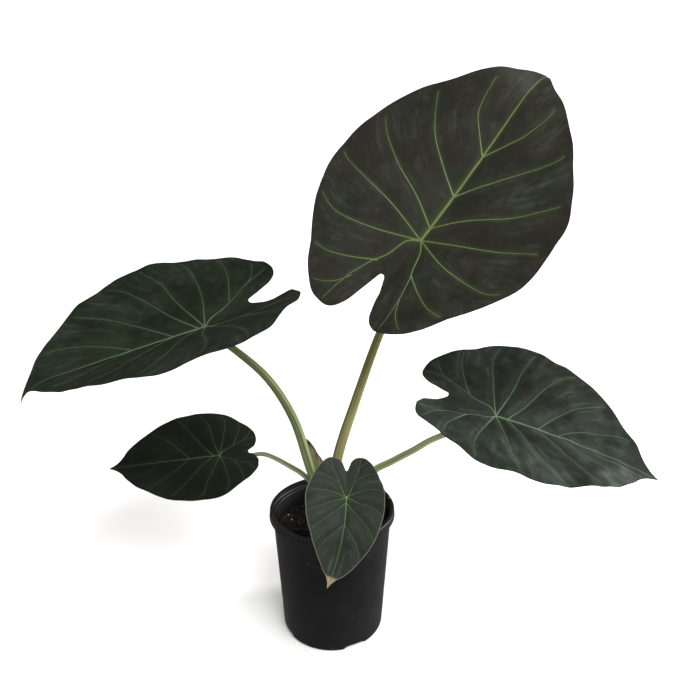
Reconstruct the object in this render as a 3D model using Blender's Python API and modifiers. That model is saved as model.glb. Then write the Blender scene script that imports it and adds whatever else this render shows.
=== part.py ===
"""Potted alocasia: five dark, heart-shaped leaves on arching stalks in a round nursery pot.

Metres, +Z up. The origin is the centre of the pot's flat underside, and -Y is the front.
"""
import math
import random
from collections import namedtuple

import bmesh
import bpy
import numpy as np
from mathutils import Matrix, Vector

# ---- driving dimensions -------------------------------------------------------------
GAP = 0.0003                  # clearance left between pieces that touch
MERGE = 0.00001               # points closer than this are one point

POT_HEIGHT = 0.149
RIM_RADIUS = 0.070            # outside of the rim band
RIM_BAND = 0.0088             # height of the band
WALL_TOP_RADIUS = 0.0657      # outside of the wall, just under the band
FOOT_RADIUS = 0.0572
POT_WALL = 0.0014
POT_FLOOR = 0.0018
FOOT_ROUNDING = 0.0035
POT_SEGMENTS = 56

NOTCHES = 4                   # drainage notches around the foot
NOTCH_WIDTH = 0.027
NOTCH_HEIGHT = 0.0055
NOTCH_DEPTH = 0.007
FIRST_NOTCH_ANGLE = -63.0     # degrees around +Z from +X

SOIL_LEVEL = 0.1235
SOIL_RINGS = ((0.027, -0.0004), (0.038, 0.0004), (0.050, -0.0008))   # radius, height over the level

CROWN_RADIUS = 0.0185
CROWN_TOP = 0.1295
CROWN_BOTTOM = 0.098

BLADE_THICKNESS = 0.0010
BLADE_RINGS = 5
HALF_OUTLINE_STEPS = 21
SPINE_STEP = 0.004

STALK_SIDES = 3               # bevel resolution: ten sides
STALK_STEPS = 14
NECK_CLEARANCE = 0.0004       # between a stalk's end and the blade, beside GAP
FOOT_LEAN = 0.4               # share of its full lean with which a stalk leaves the crown

# ---- colours, linear RGB ------------------------------------------------------------
POT_BLACK = (0.012, 0.012, 0.013)
MIX_BROWN = (0.010, 0.008, 0.007)
CROWN_BROWN = (0.060, 0.045, 0.022)
STALK_GREEN = (0.235, 0.250, 0.100)
SHEATH_TAN = (0.200, 0.120, 0.085)
BARK_BROWN = (0.035, 0.020, 0.012)
PERLITE_WHITE = (0.700, 0.690, 0.660)

# ---- the leaves -----------------------------------------------------------------------
# A blade is laid out flat in (across, along), measured in blade lengths from the point
# where the stalk meets it: along runs to the tip, and the two lobes reach behind zero.
OUTER_EDGE = ((0.0, 1.0), (0.035, 0.94), (0.10, 0.88), (0.20, 0.82), (0.36, 0.68), (0.52, 0.50),
              (0.64, 0.31), (0.705, 0.10), (0.70, -0.06), (0.64, -0.20), (0.52, -0.37), (0.39, -0.48))
LOBE_END = (0.27, -0.51)
INNER_EDGE = ((0.60, 0.93), (0.30, 0.68), (0.12, 0.30), (0.0, 0.0))   # shares from sinus to lobe end

# Angles are in degrees and bends in 1/m; pairs are (left, right), seen along the blade from
# the stalk. A fold is how far that side lifts from the midrib, and its cup is how fast it then
# bends back down. The stalk is a list of points from the crown up to just below the blade.
Leaf = namedtuple("Leaf", "junction heading pitch roll length widths lobes sinus folds cups "
                          "droop sway twist back_bend tip_curl tip_start colour "
                          "stalk base_radius neck_radius")
LEAVES = {
    "tall": Leaf(
        junction=(0.0965, 0.065, 0.435), heading=17.5, pitch=50, roll=22, length=0.232,
        widths=(0.98, 0.97), lobes=(1.02, 0.92), sinus=(-0.05, -0.23), folds=(15, 10.5), cups=(0, 0.2),
        droop=-0.8, sway=0.1, twist=1.9, back_bend=-0.9, tip_curl=40, tip_start=0.70,
        colour=(0.030, 0.036, 0.026), base_radius=0.0060, neck_radius=0.0036,
        stalk=((0.003, 0.007, 0.130), (0.0045, 0.0095, 0.165), (0.0067, 0.012, 0.204),
               (0.0265, 0.030, 0.264), (0.052, 0.051, 0.332), (0.076, 0.061, 0.385))),
    "left": Leaf(
        junction=(-0.132, 0.016, 0.352), heading=207, pitch=-11, roll=-4.5, length=0.194,
        widths=(1.0, 1.0), lobes=(0.97, 1.06), sinus=(0.07, -0.29), folds=(16.5, 21.5), cups=(0.8, 1.2),
        droop=0.4, sway=0.5, twist=-0.65, back_bend=-2.5, tip_curl=9, tip_start=0.6,
        colour=(0.023, 0.031, 0.021), base_radius=0.0058, neck_radius=0.0034,
        stalk=((-0.0095, -0.002, 0.130), (-0.0135, -0.001, 0.160), (-0.025, 0.001, 0.200),
               (-0.0415, 0.006, 0.253), (-0.0686, 0.012, 0.2967), (-0.1058, 0.0155, 0.3303))),
    "low_left": Leaf(
        junction=(-0.132, 0.0435, 0.189), heading=191.5, pitch=-1, roll=-4.5, length=0.123,
        widths=(1.01, 1.02), lobes=(0.69, 0.70), sinus=(0.03, -0.27), folds=(8.5, 10), cups=(2.2, 1.7),
        droop=0.3, sway=0.0, twist=-2.3, back_bend=0.8, tip_curl=0, tip_start=0.6,
        colour=(0.017, 0.023, 0.014), base_radius=0.0036, neck_radius=0.0019,
        stalk=((-0.0105, 0.0125, 0.130), (-0.0170, 0.0110, 0.160), (-0.0292, 0.010, 0.1795),
               (-0.0480, 0.021, 0.1870), (-0.0770, 0.044, 0.1895), (-0.0990, 0.0530, 0.1845))),
    "right": Leaf(
        junction=(0.166, -0.0385, 0.2745), heading=-16, pitch=-11, roll=6.7, length=0.164,
        widths=(1.0, 0.97), lobes=(1.02, 0.92), sinus=(-0.07, -0.31), folds=(14.5, 13), cups=(0, 1.3),
        droop=1.25, sway=0.2, twist=1.0, back_bend=-0.1, tip_curl=0.5, tip_start=0.6,
        colour=(0.040, 0.050, 0.036), base_radius=0.0044, neck_radius=0.0026,
        stalk=((0.0120, -0.0045, 0.130), (0.0170, -0.0045, 0.155), (0.044, -0.006, 0.1938),
               (0.0640, -0.0130, 0.2105), (0.0860, -0.0210, 0.2278), (0.1105, -0.030, 0.2475))),
    "front": Leaf(
        junction=(0.0165, -0.0745, 0.2035), heading=-91, pitch=-52, roll=-2.5, length=0.087,
        widths=(0.62, 0.66), lobes=(0.88, 0.88), sinus=(0.0, -0.30), folds=(12, 11.5), cups=(2, 2),
        droop=1.7, sway=4.5, twist=-0.2, back_bend=1.0, tip_curl=0, tip_start=0.6,
        colour=(0.056, 0.068, 0.046), base_radius=0.0034, neck_radius=0.0018,
        stalk=((0.0010, -0.0130, 0.130), (0.0015, -0.0165, 0.150), (0.004, -0.028, 0.174),
               (0.010, -0.050, 0.193))),
}

# The dry sheath: a papery sheet that stands beside the left stalk, on its inner side.
SHEATH_LOW, SHEATH_HIGH = 0.1300, 0.2270
SHEATH_STANDOFF = 0.0013      # from the stalk's skin
SHEATH_FLARE = 0.0085         # how far its free edge stands away at the widest place
SHEATH_BACK, SHEATH_WRAP = 50, 65   # degrees: where it starts and how far it goes round the stalk
SHEATH_THICKNESS = 0.0007
SHEATH_ROWS, SHEATH_COLUMNS = 14, 5

BARK_CHIPS = 8
PERLITE_GRAINS = 6
CHIP_SIZE = (0.011, 0.006, 0.0032)
GRAIN_SIZE = (0.0032, 0.0032, 0.0026)
BIT_LIFT = 0.0008             # keeps a bit's flat underside clear of the mix's slope


# ---- helpers ------------------------------------------------------------------------
def clear_scene():
    for old in list(bpy.data.objects):
        bpy.data.objects.remove(old, do_unlink=True)


def collection(name):
    made = bpy.data.collections.new(name)
    bpy.context.scene.collection.children.link(made)
    return made


def finish_material(name, colour, roughness):
    made = bpy.data.materials.new(name)
    made.use_nodes = True
    shader = made.node_tree.nodes["Principled BSDF"]
    shader.inputs["Base Color"].default_value = (*colour, 1.0)
    shader.inputs["Roughness"].default_value = roughness
    shader.inputs["Metallic"].default_value = 0.0
    return made


def add_object(name, data, home, colour, roughness):
    made = bpy.data.objects.new(name, data)
    home.objects.link(made)
    data.materials.append(finish_material(name, colour, roughness))
    return made


def smooth_line(points, steps):
    """Points evenly along a smooth line that passes through the given points."""
    control = np.array(points, float)
    ends = (2 * control[0] - control[1], 2 * control[-1] - control[-2])
    padded = np.vstack([ends[0], control, ends[1]])
    fine = []
    for before, start, end, after in zip(padded, padded[1:], padded[2:], padded[3:]):
        for share in np.linspace(0, 1, 12, endpoint=False):
            fine.append(0.5 * (2 * start + (end - before) * share
                               + (2 * before - 5 * start + 4 * end - after) * share ** 2
                               + (3 * start - before - 3 * end + after) * share ** 3))
    fine = np.array(fine + [control[-1]])
    travelled = np.concatenate([[0], np.cumsum(np.linalg.norm(np.diff(fine, axis=0), axis=1))])
    wanted = np.linspace(0, travelled[-1], steps + 1)
    return np.column_stack([np.interp(wanted, travelled, column) for column in fine.T])


def turned(name, profile, home, colour, roughness, segments):
    """A body of revolution from (radius, height) points that run down its outer side."""
    data = bpy.data.meshes.new(name)
    data.from_pydata([(r, 0, z) for r, z in profile], [(i, i + 1) for i in range(len(profile) - 1)], [])
    made = add_object(name, data, home, colour, roughness)
    screw = made.modifiers.new("Turn", "SCREW")
    screw.steps = screw.render_steps = segments
    screw.use_merge_vertices = True
    screw.merge_threshold = MERGE
    screw.use_smooth_shade = True
    return made


def arc(centre, radius, start, end, steps):
    angles = [math.radians(start + (end - start) * i / steps) for i in range(steps + 1)]
    return [(centre[0] + radius * math.cos(a), centre[1] + radius * math.sin(a)) for a in angles]


# ---- pot and potting mix ------------------------------------------------------------
def wall_radius(height):
    """Outside radius of the pot's tapered wall."""
    share = height / (POT_HEIGHT - RIM_BAND)
    return FOOT_RADIUS + (WALL_TOP_RADIUS - FOOT_RADIUS) * share


def pot_profile():
    band_bottom = POT_HEIGHT - RIM_BAND
    edge = POT_WALL / 2
    inner = [(0.0, POT_FLOOR), (FOOT_RADIUS - FOOT_ROUNDING - POT_WALL, POT_FLOOR)]
    inner += [(wall_radius(FOOT_ROUNDING) - POT_WALL, POT_FLOOR + FOOT_ROUNDING - POT_WALL),
              (wall_radius(band_bottom) - POT_WALL, band_bottom + POT_WALL / 2),
              (RIM_RADIUS - POT_WALL, band_bottom + POT_WALL * 1.2)]
    lip = arc((RIM_RADIUS - edge, POT_HEIGHT - edge), edge, 180, 0, 4)
    outer = [(RIM_RADIUS, band_bottom), (wall_radius(band_bottom), band_bottom - POT_WALL)]
    foot = arc((FOOT_RADIUS - FOOT_ROUNDING, FOOT_ROUNDING), FOOT_ROUNDING, 0, -90, 4)
    return inner + lip + outer + foot + [(0.0, 0.0)]


def notch_cutter(index, home):
    bpy.ops.mesh.primitive_cube_add(size=1)
    cutter = bpy.context.object
    cutter.name = f"notch_cutter_{index}"
    for holder in list(cutter.users_collection):
        holder.objects.unlink(cutter)
    home.objects.link(cutter)
    angle = math.radians(FIRST_NOTCH_ANGLE + index * 360 / NOTCHES)
    size = Vector((2 * NOTCH_DEPTH, NOTCH_WIDTH, 2 * NOTCH_HEIGHT))
    cutter.data.transform(Matrix.Diagonal(size.to_4d()))
    cutter.rotation_euler = (0, 0, angle)
    cutter.location = (FOOT_RADIUS * math.cos(angle), FOOT_RADIUS * math.sin(angle), 0)
    rounding = cutter.modifiers.new("Round", "BEVEL")
    rounding.width = NOTCH_HEIGHT * 0.6
    rounding.segments = 2
    cutter.hide_render = True
    cutter.display_type = "WIRE"
    return cutter


def cut(target, cutter):
    difference = target.modifiers.new("Cut " + cutter.name, "BOOLEAN")
    difference.operation = "DIFFERENCE"
    difference.solver = "EXACT"
    difference.object = cutter


def build_pot(home, cutters):
    pot = turned("pot", pot_profile(), home, POT_BLACK, 0.45, POT_SEGMENTS)
    for index in range(NOTCHES):
        cut(pot, notch_cutter(index, cutters))


def crown_profile(extra):
    """The buried root crown, made larger all round by extra."""
    radius, top, bottom = CROWN_RADIUS + extra, CROWN_TOP + extra, CROWN_BOTTOM - extra
    return [(0, top), (radius * 0.85, top), (radius, top - 0.004), (radius * 1.02, top - 0.012),
            (radius * 0.8, bottom + 0.006), (radius * 0.4, bottom), (0, bottom)]


def build_crown(home):
    turned("root_crown", crown_profile(0), home, CROWN_BROWN, 0.8, 28)


def build_potting_mix(home, cutters):
    low = POT_FLOOR + GAP
    inside = POT_WALL + GAP
    top_radius = wall_radius(SOIL_LEVEL) - inside
    profile = [(0, SOIL_LEVEL)] + [(r, SOIL_LEVEL + lift) for r, lift in SOIL_RINGS]
    profile += [(top_radius, SOIL_LEVEL), (wall_radius(FOOT_ROUNDING) - inside - GAP, low + FOOT_ROUNDING),
                (FOOT_RADIUS - FOOT_ROUNDING - inside - GAP, low), (0, low)]
    mix = turned("potting_mix", profile, home, MIX_BROWN, 0.95, 44)
    pocket = turned("crown_pocket_cutter", crown_profile(GAP), cutters, CROWN_BROWN, 0.8, 28)
    pocket.hide_render = True
    pocket.display_type = "WIRE"
    cut(mix, pocket)


# ---- leaves -------------------------------------------------------------------------
def half_outline(leaf, side):
    """One half of a blade's edge, from the tip round the lobe to the sinus; side 1 is the right."""
    which = 1 if side > 0 else 0
    lobe, width = leaf.lobes[which], leaf.widths[which]
    points = [(width * u, v * lobe if v < 0 else v) for u, v in OUTER_EDGE]
    end = np.array([width * LOBE_END[0], lobe * LOBE_END[1]])
    sinus = np.array([side * leaf.sinus[0], leaf.sinus[1]])
    points += [end, *(sinus + (end - sinus) * shares for shares in np.array(INNER_EDGE))]
    return [(side * u * leaf.length, v * leaf.length) for u, v in points]


def start_frame(leaf):
    heading, pitch = math.radians(leaf.heading), math.radians(leaf.pitch)
    level = np.array([math.cos(heading), math.sin(heading), 0.0])
    along = level * math.cos(pitch) + np.array([0.0, 0.0, math.sin(pitch)])
    across = np.array([math.sin(heading), -math.cos(heading), 0.0])
    up = np.cross(across, along)
    lean = math.radians(leaf.roll)
    return along, across * math.cos(lean) - up * math.sin(lean), up * math.cos(lean) + across * math.sin(lean)


def turn(first, second, angle):
    """Both unit vectors turned in their own plane, the first towards the second's reverse."""
    return (first * math.cos(angle) - second * math.sin(angle),
            second * math.cos(angle) + first * math.sin(angle))


def spine(leaf):
    """Frames along the midrib: rows of distance, point, across and up."""
    rows = []
    for direction, reach in ((-1, 0.62), (1, 1.02)):
        point = np.array(leaf.junction)
        along, across, up = start_frame(leaf)
        frames = [(0.0, point, across, up)]
        for index in range(math.ceil(reach * leaf.length / SPINE_STEP)):
            middle = (index + 0.5) * SPINE_STEP / leaf.length
            bend = leaf.droop if direction > 0 else leaf.back_bend
            if direction > 0:
                bend += leaf.tip_curl * max(0.0, middle - leaf.tip_start) / (1 - leaf.tip_start)
            step = direction * SPINE_STEP
            along, up = turn(along, up, bend * step)
            if direction > 0:
                across, along = turn(across, along, leaf.sway * step)
            across, up = turn(across, up, leaf.twist * step)
            point = point + along * step
            frames.append((direction * (index + 1) * SPINE_STEP, point, across, up))
        rows = frames[:0:-1] if direction < 0 else rows + frames
    return np.array([[row[0], *row[1], *row[2], *row[3]] for row in rows])


def blade_point(leaf, frames, across, along):
    """Where a point of the flat blade lies once the blade is bent."""
    row = np.array([np.interp(along, frames[:, 0], column) for column in frames[:, 1:].T])
    side = 1 if across > 0 else 0
    fold, cup = math.radians(leaf.folds[side]), max(leaf.cups[side], 0.0001)
    reach = abs(across)
    sideways = (math.sin(fold) - math.sin(fold - cup * reach)) / cup
    lift = (math.cos(fold - cup * reach) - math.cos(fold)) / cup
    return row[0:3] + row[3:6] * math.copysign(sideways, across) + row[6:9] * lift


def build_blade(name, leaf, home):
    right = smooth_line(half_outline(leaf, 1), HALF_OUTLINE_STEPS)
    left = smooth_line(half_outline(leaf, -1), HALF_OUTLINE_STEPS)
    edge = np.vstack([right, left[-2:0:-1]])
    frames = spine(leaf)
    sheet = bmesh.new()
    centre = sheet.verts.new(blade_point(leaf, frames, 0.0, 0.0))
    rings = [[sheet.verts.new(blade_point(leaf, frames, *(point * ring / BLADE_RINGS))) for point in edge]
             for ring in range(1, BLADE_RINGS + 1)]
    count = len(edge)
    for index in range(count):
        after = (index + 1) % count
        sheet.faces.new((centre, rings[0][after], rings[0][index]))
        for inner, outer in zip(rings, rings[1:]):
            sheet.faces.new((inner[index], inner[after], outer[after], outer[index]))
    data = bpy.data.meshes.new(name)
    sheet.to_mesh(data)
    sheet.free()
    data.shade_smooth()
    blade = add_object(name, data, home, leaf.colour, 0.45)
    shell = blade.modifiers.new("Thickness", "SOLIDIFY")
    shell.thickness = BLADE_THICKNESS
    shell.offset = 0
    return blade


def stalk_line(leaf):
    """The stalk's centre line, from the crown to just under the blade."""
    approach = np.array(leaf.junction) - np.array(leaf.stalk[-1])
    approach /= np.linalg.norm(approach)
    up = start_frame(leaf)[2]
    slant = math.sqrt(max(0.0, 1 - float(approach @ up) ** 2))
    clearance = BLADE_THICKNESS / 2 + GAP + leaf.neck_radius * slant + NECK_CLEARANCE
    end = np.array(leaf.junction) - up * clearance
    return smooth_line([*leaf.stalk, end], STALK_STEPS)


def tube(name, points, radii, home, colour, roughness):
    data = bpy.data.curves.new(name, "CURVE")
    data.dimensions = "3D"
    data.bevel_depth = 1.0
    data.bevel_resolution = STALK_SIDES
    data.use_fill_caps = True
    line = data.splines.new("POLY")
    line.points.add(len(points) - 1)
    for spot, point, radius in zip(line.points, points, radii):
        spot.co = (*point, 1.0)
        spot.radius = radius
    return add_object(name, data, home, colour, roughness)


def build_stalk(name, leaf, home):
    points = stalk_line(leaf)
    points[1][:2] = points[0][:2] + (points[1][:2] - points[0][:2]) * FOOT_LEAN
    shares = np.linspace(0, 1, len(points))
    radii = leaf.neck_radius + (leaf.base_radius - leaf.neck_radius) * (1 - shares) ** 0.8
    return tube(name, points, radii, home, STALK_GREEN, 0.5)


def build_sheath(home):
    """A narrow sheet curled round the inner side of the left stalk, pointed at its top."""
    leaf = LEAVES["left"]
    line = stalk_line(leaf)
    sheet = bmesh.new()
    grid = []
    for row in range(SHEATH_ROWS + 1):
        share = row / SHEATH_ROWS
        height = SHEATH_LOW + (SHEATH_HIGH - SHEATH_LOW) * share
        centre = [np.interp(height, line[:, 2], line[:, axis]) for axis in (0, 1)]
        radius = leaf.base_radius + SHEATH_STANDOFF
        narrowing = math.sqrt(1.02 - share ** 3)
        flare = SHEATH_FLARE * math.sin(math.pi * share ** 1.9)
        columns = []
        for column in range(SHEATH_COLUMNS + 1):
            across = column / SHEATH_COLUMNS
            angle = math.radians(SHEATH_BACK - SHEATH_WRAP * across * narrowing)
            spread = radius + flare * across ** 1.5
            columns.append(sheet.verts.new((centre[0] + spread * math.cos(angle),
                                            centre[1] + spread * math.sin(angle), height)))
        grid.append(columns)
    for low, high in zip(grid, grid[1:]):
        for a, b, c, d in zip(low, low[1:], high[1:], high):
            sheet.faces.new((a, b, c, d))
    data = bpy.data.meshes.new("dry_sheath")
    sheet.to_mesh(data)
    sheet.free()
    sheath = add_object("dry_sheath", data, home, SHEATH_TAN, 0.7)
    shell = sheath.modifiers.new("Thickness", "SOLIDIFY")
    shell.thickness = SHEATH_THICKNESS
    shell.offset = 0


# ---- loose bits on the potting mix --------------------------------------------------
def free_spots(count, seed, spacing):
    """Places on the mix, clear of the crown, the wall, the stalks and each other."""
    draw = random.Random(seed)
    spots = []
    while len(spots) < count:
        angle, radius = draw.uniform(0, 2 * math.pi), draw.uniform(0.027, 0.052)
        spot = Vector((radius * math.cos(angle), radius * math.sin(angle)))
        if all((spot - other).length > spacing for other in spots):
            spots.append(spot)
    return spots


def mix_height(radius):
    radii, lifts = zip(*SOIL_RINGS)
    return SOIL_LEVEL + float(np.interp(radius, radii, lifts))


def build_bit(name, spot, size, turn_angle, home, colour, seed):
    """A rough lump, flat underneath, resting on the mix."""
    draw = random.Random(seed)
    lump = bmesh.new()
    bmesh.ops.create_icosphere(lump, subdivisions=1, radius=0.5)
    for vertex in lump.verts:
        vertex.co *= draw.uniform(0.85, 1.1)
        vertex.co.z = max(vertex.co.z, -0.3)
        vertex.co = Vector((vertex.co.x * size[0], vertex.co.y * size[1], vertex.co.z * size[2]))
    data = bpy.data.meshes.new(name)
    lump.to_mesh(data)
    lump.free()
    bit = add_object(name, data, home, colour, 0.9)
    bit.location = (spot.x, spot.y, mix_height(spot.length) + BIT_LIFT + 0.3 * size[2])
    bit.rotation_euler = (0, 0, turn_angle)


def build_bits(home):
    spots = free_spots(BARK_CHIPS + PERLITE_GRAINS, 5, 0.0145)
    for index, spot in enumerate(spots[:BARK_CHIPS]):
        build_bit(f"bark_chip_{index + 1}", spot, CHIP_SIZE, index * 1.3, home, BARK_BROWN, index)
    for index, spot in enumerate(spots[BARK_CHIPS:]):
        build_bit(f"perlite_{index + 1}", spot, GRAIN_SIZE, index * 0.9, home, PERLITE_WHITE, 50 + index)


def build():
    clear_scene()
    parts = collection("potted_alocasia")
    cutters = collection("cutters")
    build_pot(parts, cutters)
    build_crown(parts)
    build_potting_mix(parts, cutters)
    for name, leaf in LEAVES.items():
        build_blade(f"blade_{name}", leaf, parts)
        build_stalk(f"stalk_{name}", leaf, parts)
    build_sheath(parts)
    build_bits(parts)


build()
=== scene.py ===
"""Looks of the potted alocasia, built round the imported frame.

Metres, +Z up. The origin is the centre of the pot's underside, and -Y is the front.
"""
import math
import random
from collections import namedtuple

import bmesh
import bpy
import numpy as np
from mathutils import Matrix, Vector, noise


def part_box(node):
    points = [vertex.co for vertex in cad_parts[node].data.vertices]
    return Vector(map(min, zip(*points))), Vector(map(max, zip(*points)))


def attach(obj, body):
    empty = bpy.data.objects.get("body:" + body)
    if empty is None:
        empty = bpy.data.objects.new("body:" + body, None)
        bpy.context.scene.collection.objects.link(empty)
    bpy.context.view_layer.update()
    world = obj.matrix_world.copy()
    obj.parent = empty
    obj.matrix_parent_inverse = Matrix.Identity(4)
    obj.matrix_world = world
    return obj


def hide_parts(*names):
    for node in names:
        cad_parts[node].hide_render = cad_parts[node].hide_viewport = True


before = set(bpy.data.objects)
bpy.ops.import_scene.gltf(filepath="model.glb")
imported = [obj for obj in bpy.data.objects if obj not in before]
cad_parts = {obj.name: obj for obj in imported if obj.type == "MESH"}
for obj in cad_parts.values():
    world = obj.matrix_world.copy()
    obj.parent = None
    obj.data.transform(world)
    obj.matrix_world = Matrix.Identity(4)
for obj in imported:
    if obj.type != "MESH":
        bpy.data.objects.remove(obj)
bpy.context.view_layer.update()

# ---- sizes --------------------------------------------------------------------------
POT_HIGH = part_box("pot")[1]
POT_HEIGHT = POT_HIGH.z
RIM_RADIUS = POT_HIGH.x
RIM_BAND = 0.0088
WALL_TOP_RADIUS = 0.0657
FOOT_RADIUS = 0.0572
FOOT_ROUNDING = 0.0035
LIP_WIDTH = 0.0045            # from the rim's outside to the mouth's edge
LIP_ROUNDING = 0.0011
BASE_RECESS = 0.0012          # the underside stands this far off the ground inside the foot ring
POT_WALL = 0.0014
POT_FLOOR = 0.0018
POT_SEGMENTS = 160
NOTCHES = 4
FIRST_NOTCH_ANGLE = -63.0
NOTCH_WIDTH, NOTCH_HEIGHT, NOTCH_DEPTH = 0.027, 0.0055, 0.007
NOTCH_SQUARENESS = 5          # higher draws the arch's ends down more steeply
NOTCH_STEPS = 12              # along each half of the arch

RIM_GRAINS = ((0.0590, 0.0328, 0.0042), (0.0654, 0.0157, 0.0036))   # x, y and size of each

MIX_LEVEL = 0.1235
MIX_RADIUS = 0.0628
MIX_RINGS, MIX_SPOKES = 70, 200
MIX_WALL_HEIGHTS = (0.09, 0.05, 0.006)
SCATTER_RINGS, SCATTER_SPOKES = 24, 120
BARK_CHIPS = 8
PERLITE_GRAINS = 6
CROWN_LOW, CROWN_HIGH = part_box("root_crown")
CROWN_RINGS, CROWN_SEGMENTS = 60, 96

EDGE_STEPS = 180              # along each half of a blade's edge
BLADE_RINGS = 84
EDGE_CROWDING = 1.5           # above 1, rings draw together towards the edge
LEAST_TURN = 0.0004           # radians between neighbouring spokes, so that none cross at the sinus
BLADE_THICKNESS = 0.0006
DIMPLES_PER_METRE = 62.0
PILLOW_RISE = 0.036           # blade lengths from a vein to most of a pillow's height
SPINE_STEP = 0.002
SPINE_REACHES = ((-1, 0.62), (1, 1.02))   # direction, and how far in blade lengths
CURVE_STEPS = 12              # between two given points of a smooth line

# ---- the leaves -----------------------------------------------------------------------
# A blade is laid out flat in (across, along), measured in blade lengths from the point
# where the stalk meets it: along runs to the tip, and the two lobes reach behind zero.
OUTER_EDGE = ((0.0, 1.0), (0.035, 0.94), (0.10, 0.88), (0.20, 0.82), (0.36, 0.68), (0.52, 0.50),
              (0.64, 0.31), (0.705, 0.10), (0.70, -0.06), (0.64, -0.20), (0.52, -0.37), (0.39, -0.48))
LOBE_END = (0.27, -0.51)
# From the lobe's end to the sinus, as shares of the way between the two, across and along.
INNER_EDGE = ((0.60, 0.93), (0.33, 0.68), (0.165, 0.30), (0.06, 0.03), (0.0, 0.0))

# The main side veins of one half, in the same units: half the width at the start, then the path.
SIDE_VEINS = (
    (0.0042, ((0.0, 0.47), (0.075, 0.545), (0.14, 0.65), (0.172, 0.77), (0.165, 0.835))),
    (0.0046, ((0.0, 0.25), (0.135, 0.35), (0.265, 0.465), (0.35, 0.585), (0.375, 0.66))),
    (0.0048, ((0.0, 0.07), (0.16, 0.165), (0.36, 0.265), (0.49, 0.355), (0.56, 0.44))),
    (0.0050, ((0.0, 0.0), (0.25, 0.065), (0.46, 0.10), (0.62, 0.155), (0.69, 0.20))),
    (0.0050, ((0.0, 0.0), (0.26, -0.065), (0.50, -0.10), (0.63, -0.08), (0.695, -0.05))),
    (0.0060, ((0.0, 0.0), (0.055, -0.05), (0.10, -0.13), (0.15, -0.22), (0.215, -0.34), (0.265, -0.49))),
    (0.0044, ((0.131, -0.185), (0.28, -0.245), (0.42, -0.285), (0.54, -0.29), (0.60, -0.27))),
    (0.0034, ((0.20, -0.315), (0.27, -0.385), (0.36, -0.43), (0.43, -0.445))),
)
VEINS_ON_MIDRIB = 3           # the first ones leave the midrib, where each leaf says
FIRST_BRANCH = 6              # from here they branch off the lobe's own vein
VEIN_WANDER = 0.012
VEIN_FULLNESS = 0.66
VEIN_STEPS, VEIN_SIDES = 36, 10
MIDRIB_REACH, MIDRIB_STEPS = 0.985, 60
THINNEST_VEIN = 0.00024
VEIN_STANDS_PROUD = 0.0007
MIDRIB_STANDS_PROUD = 0.0012
SIDE_VEIN_MARK = 1.0          # added to a side vein's distance from the heart, to tell it from the midrib
GLOW_REACH = 0.0011           # how far the green beside a vein spreads
HEART_GLOW = 0.0042
VEINS_STOP_AT = 0.955         # share of the way from the heart to the edge

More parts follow.
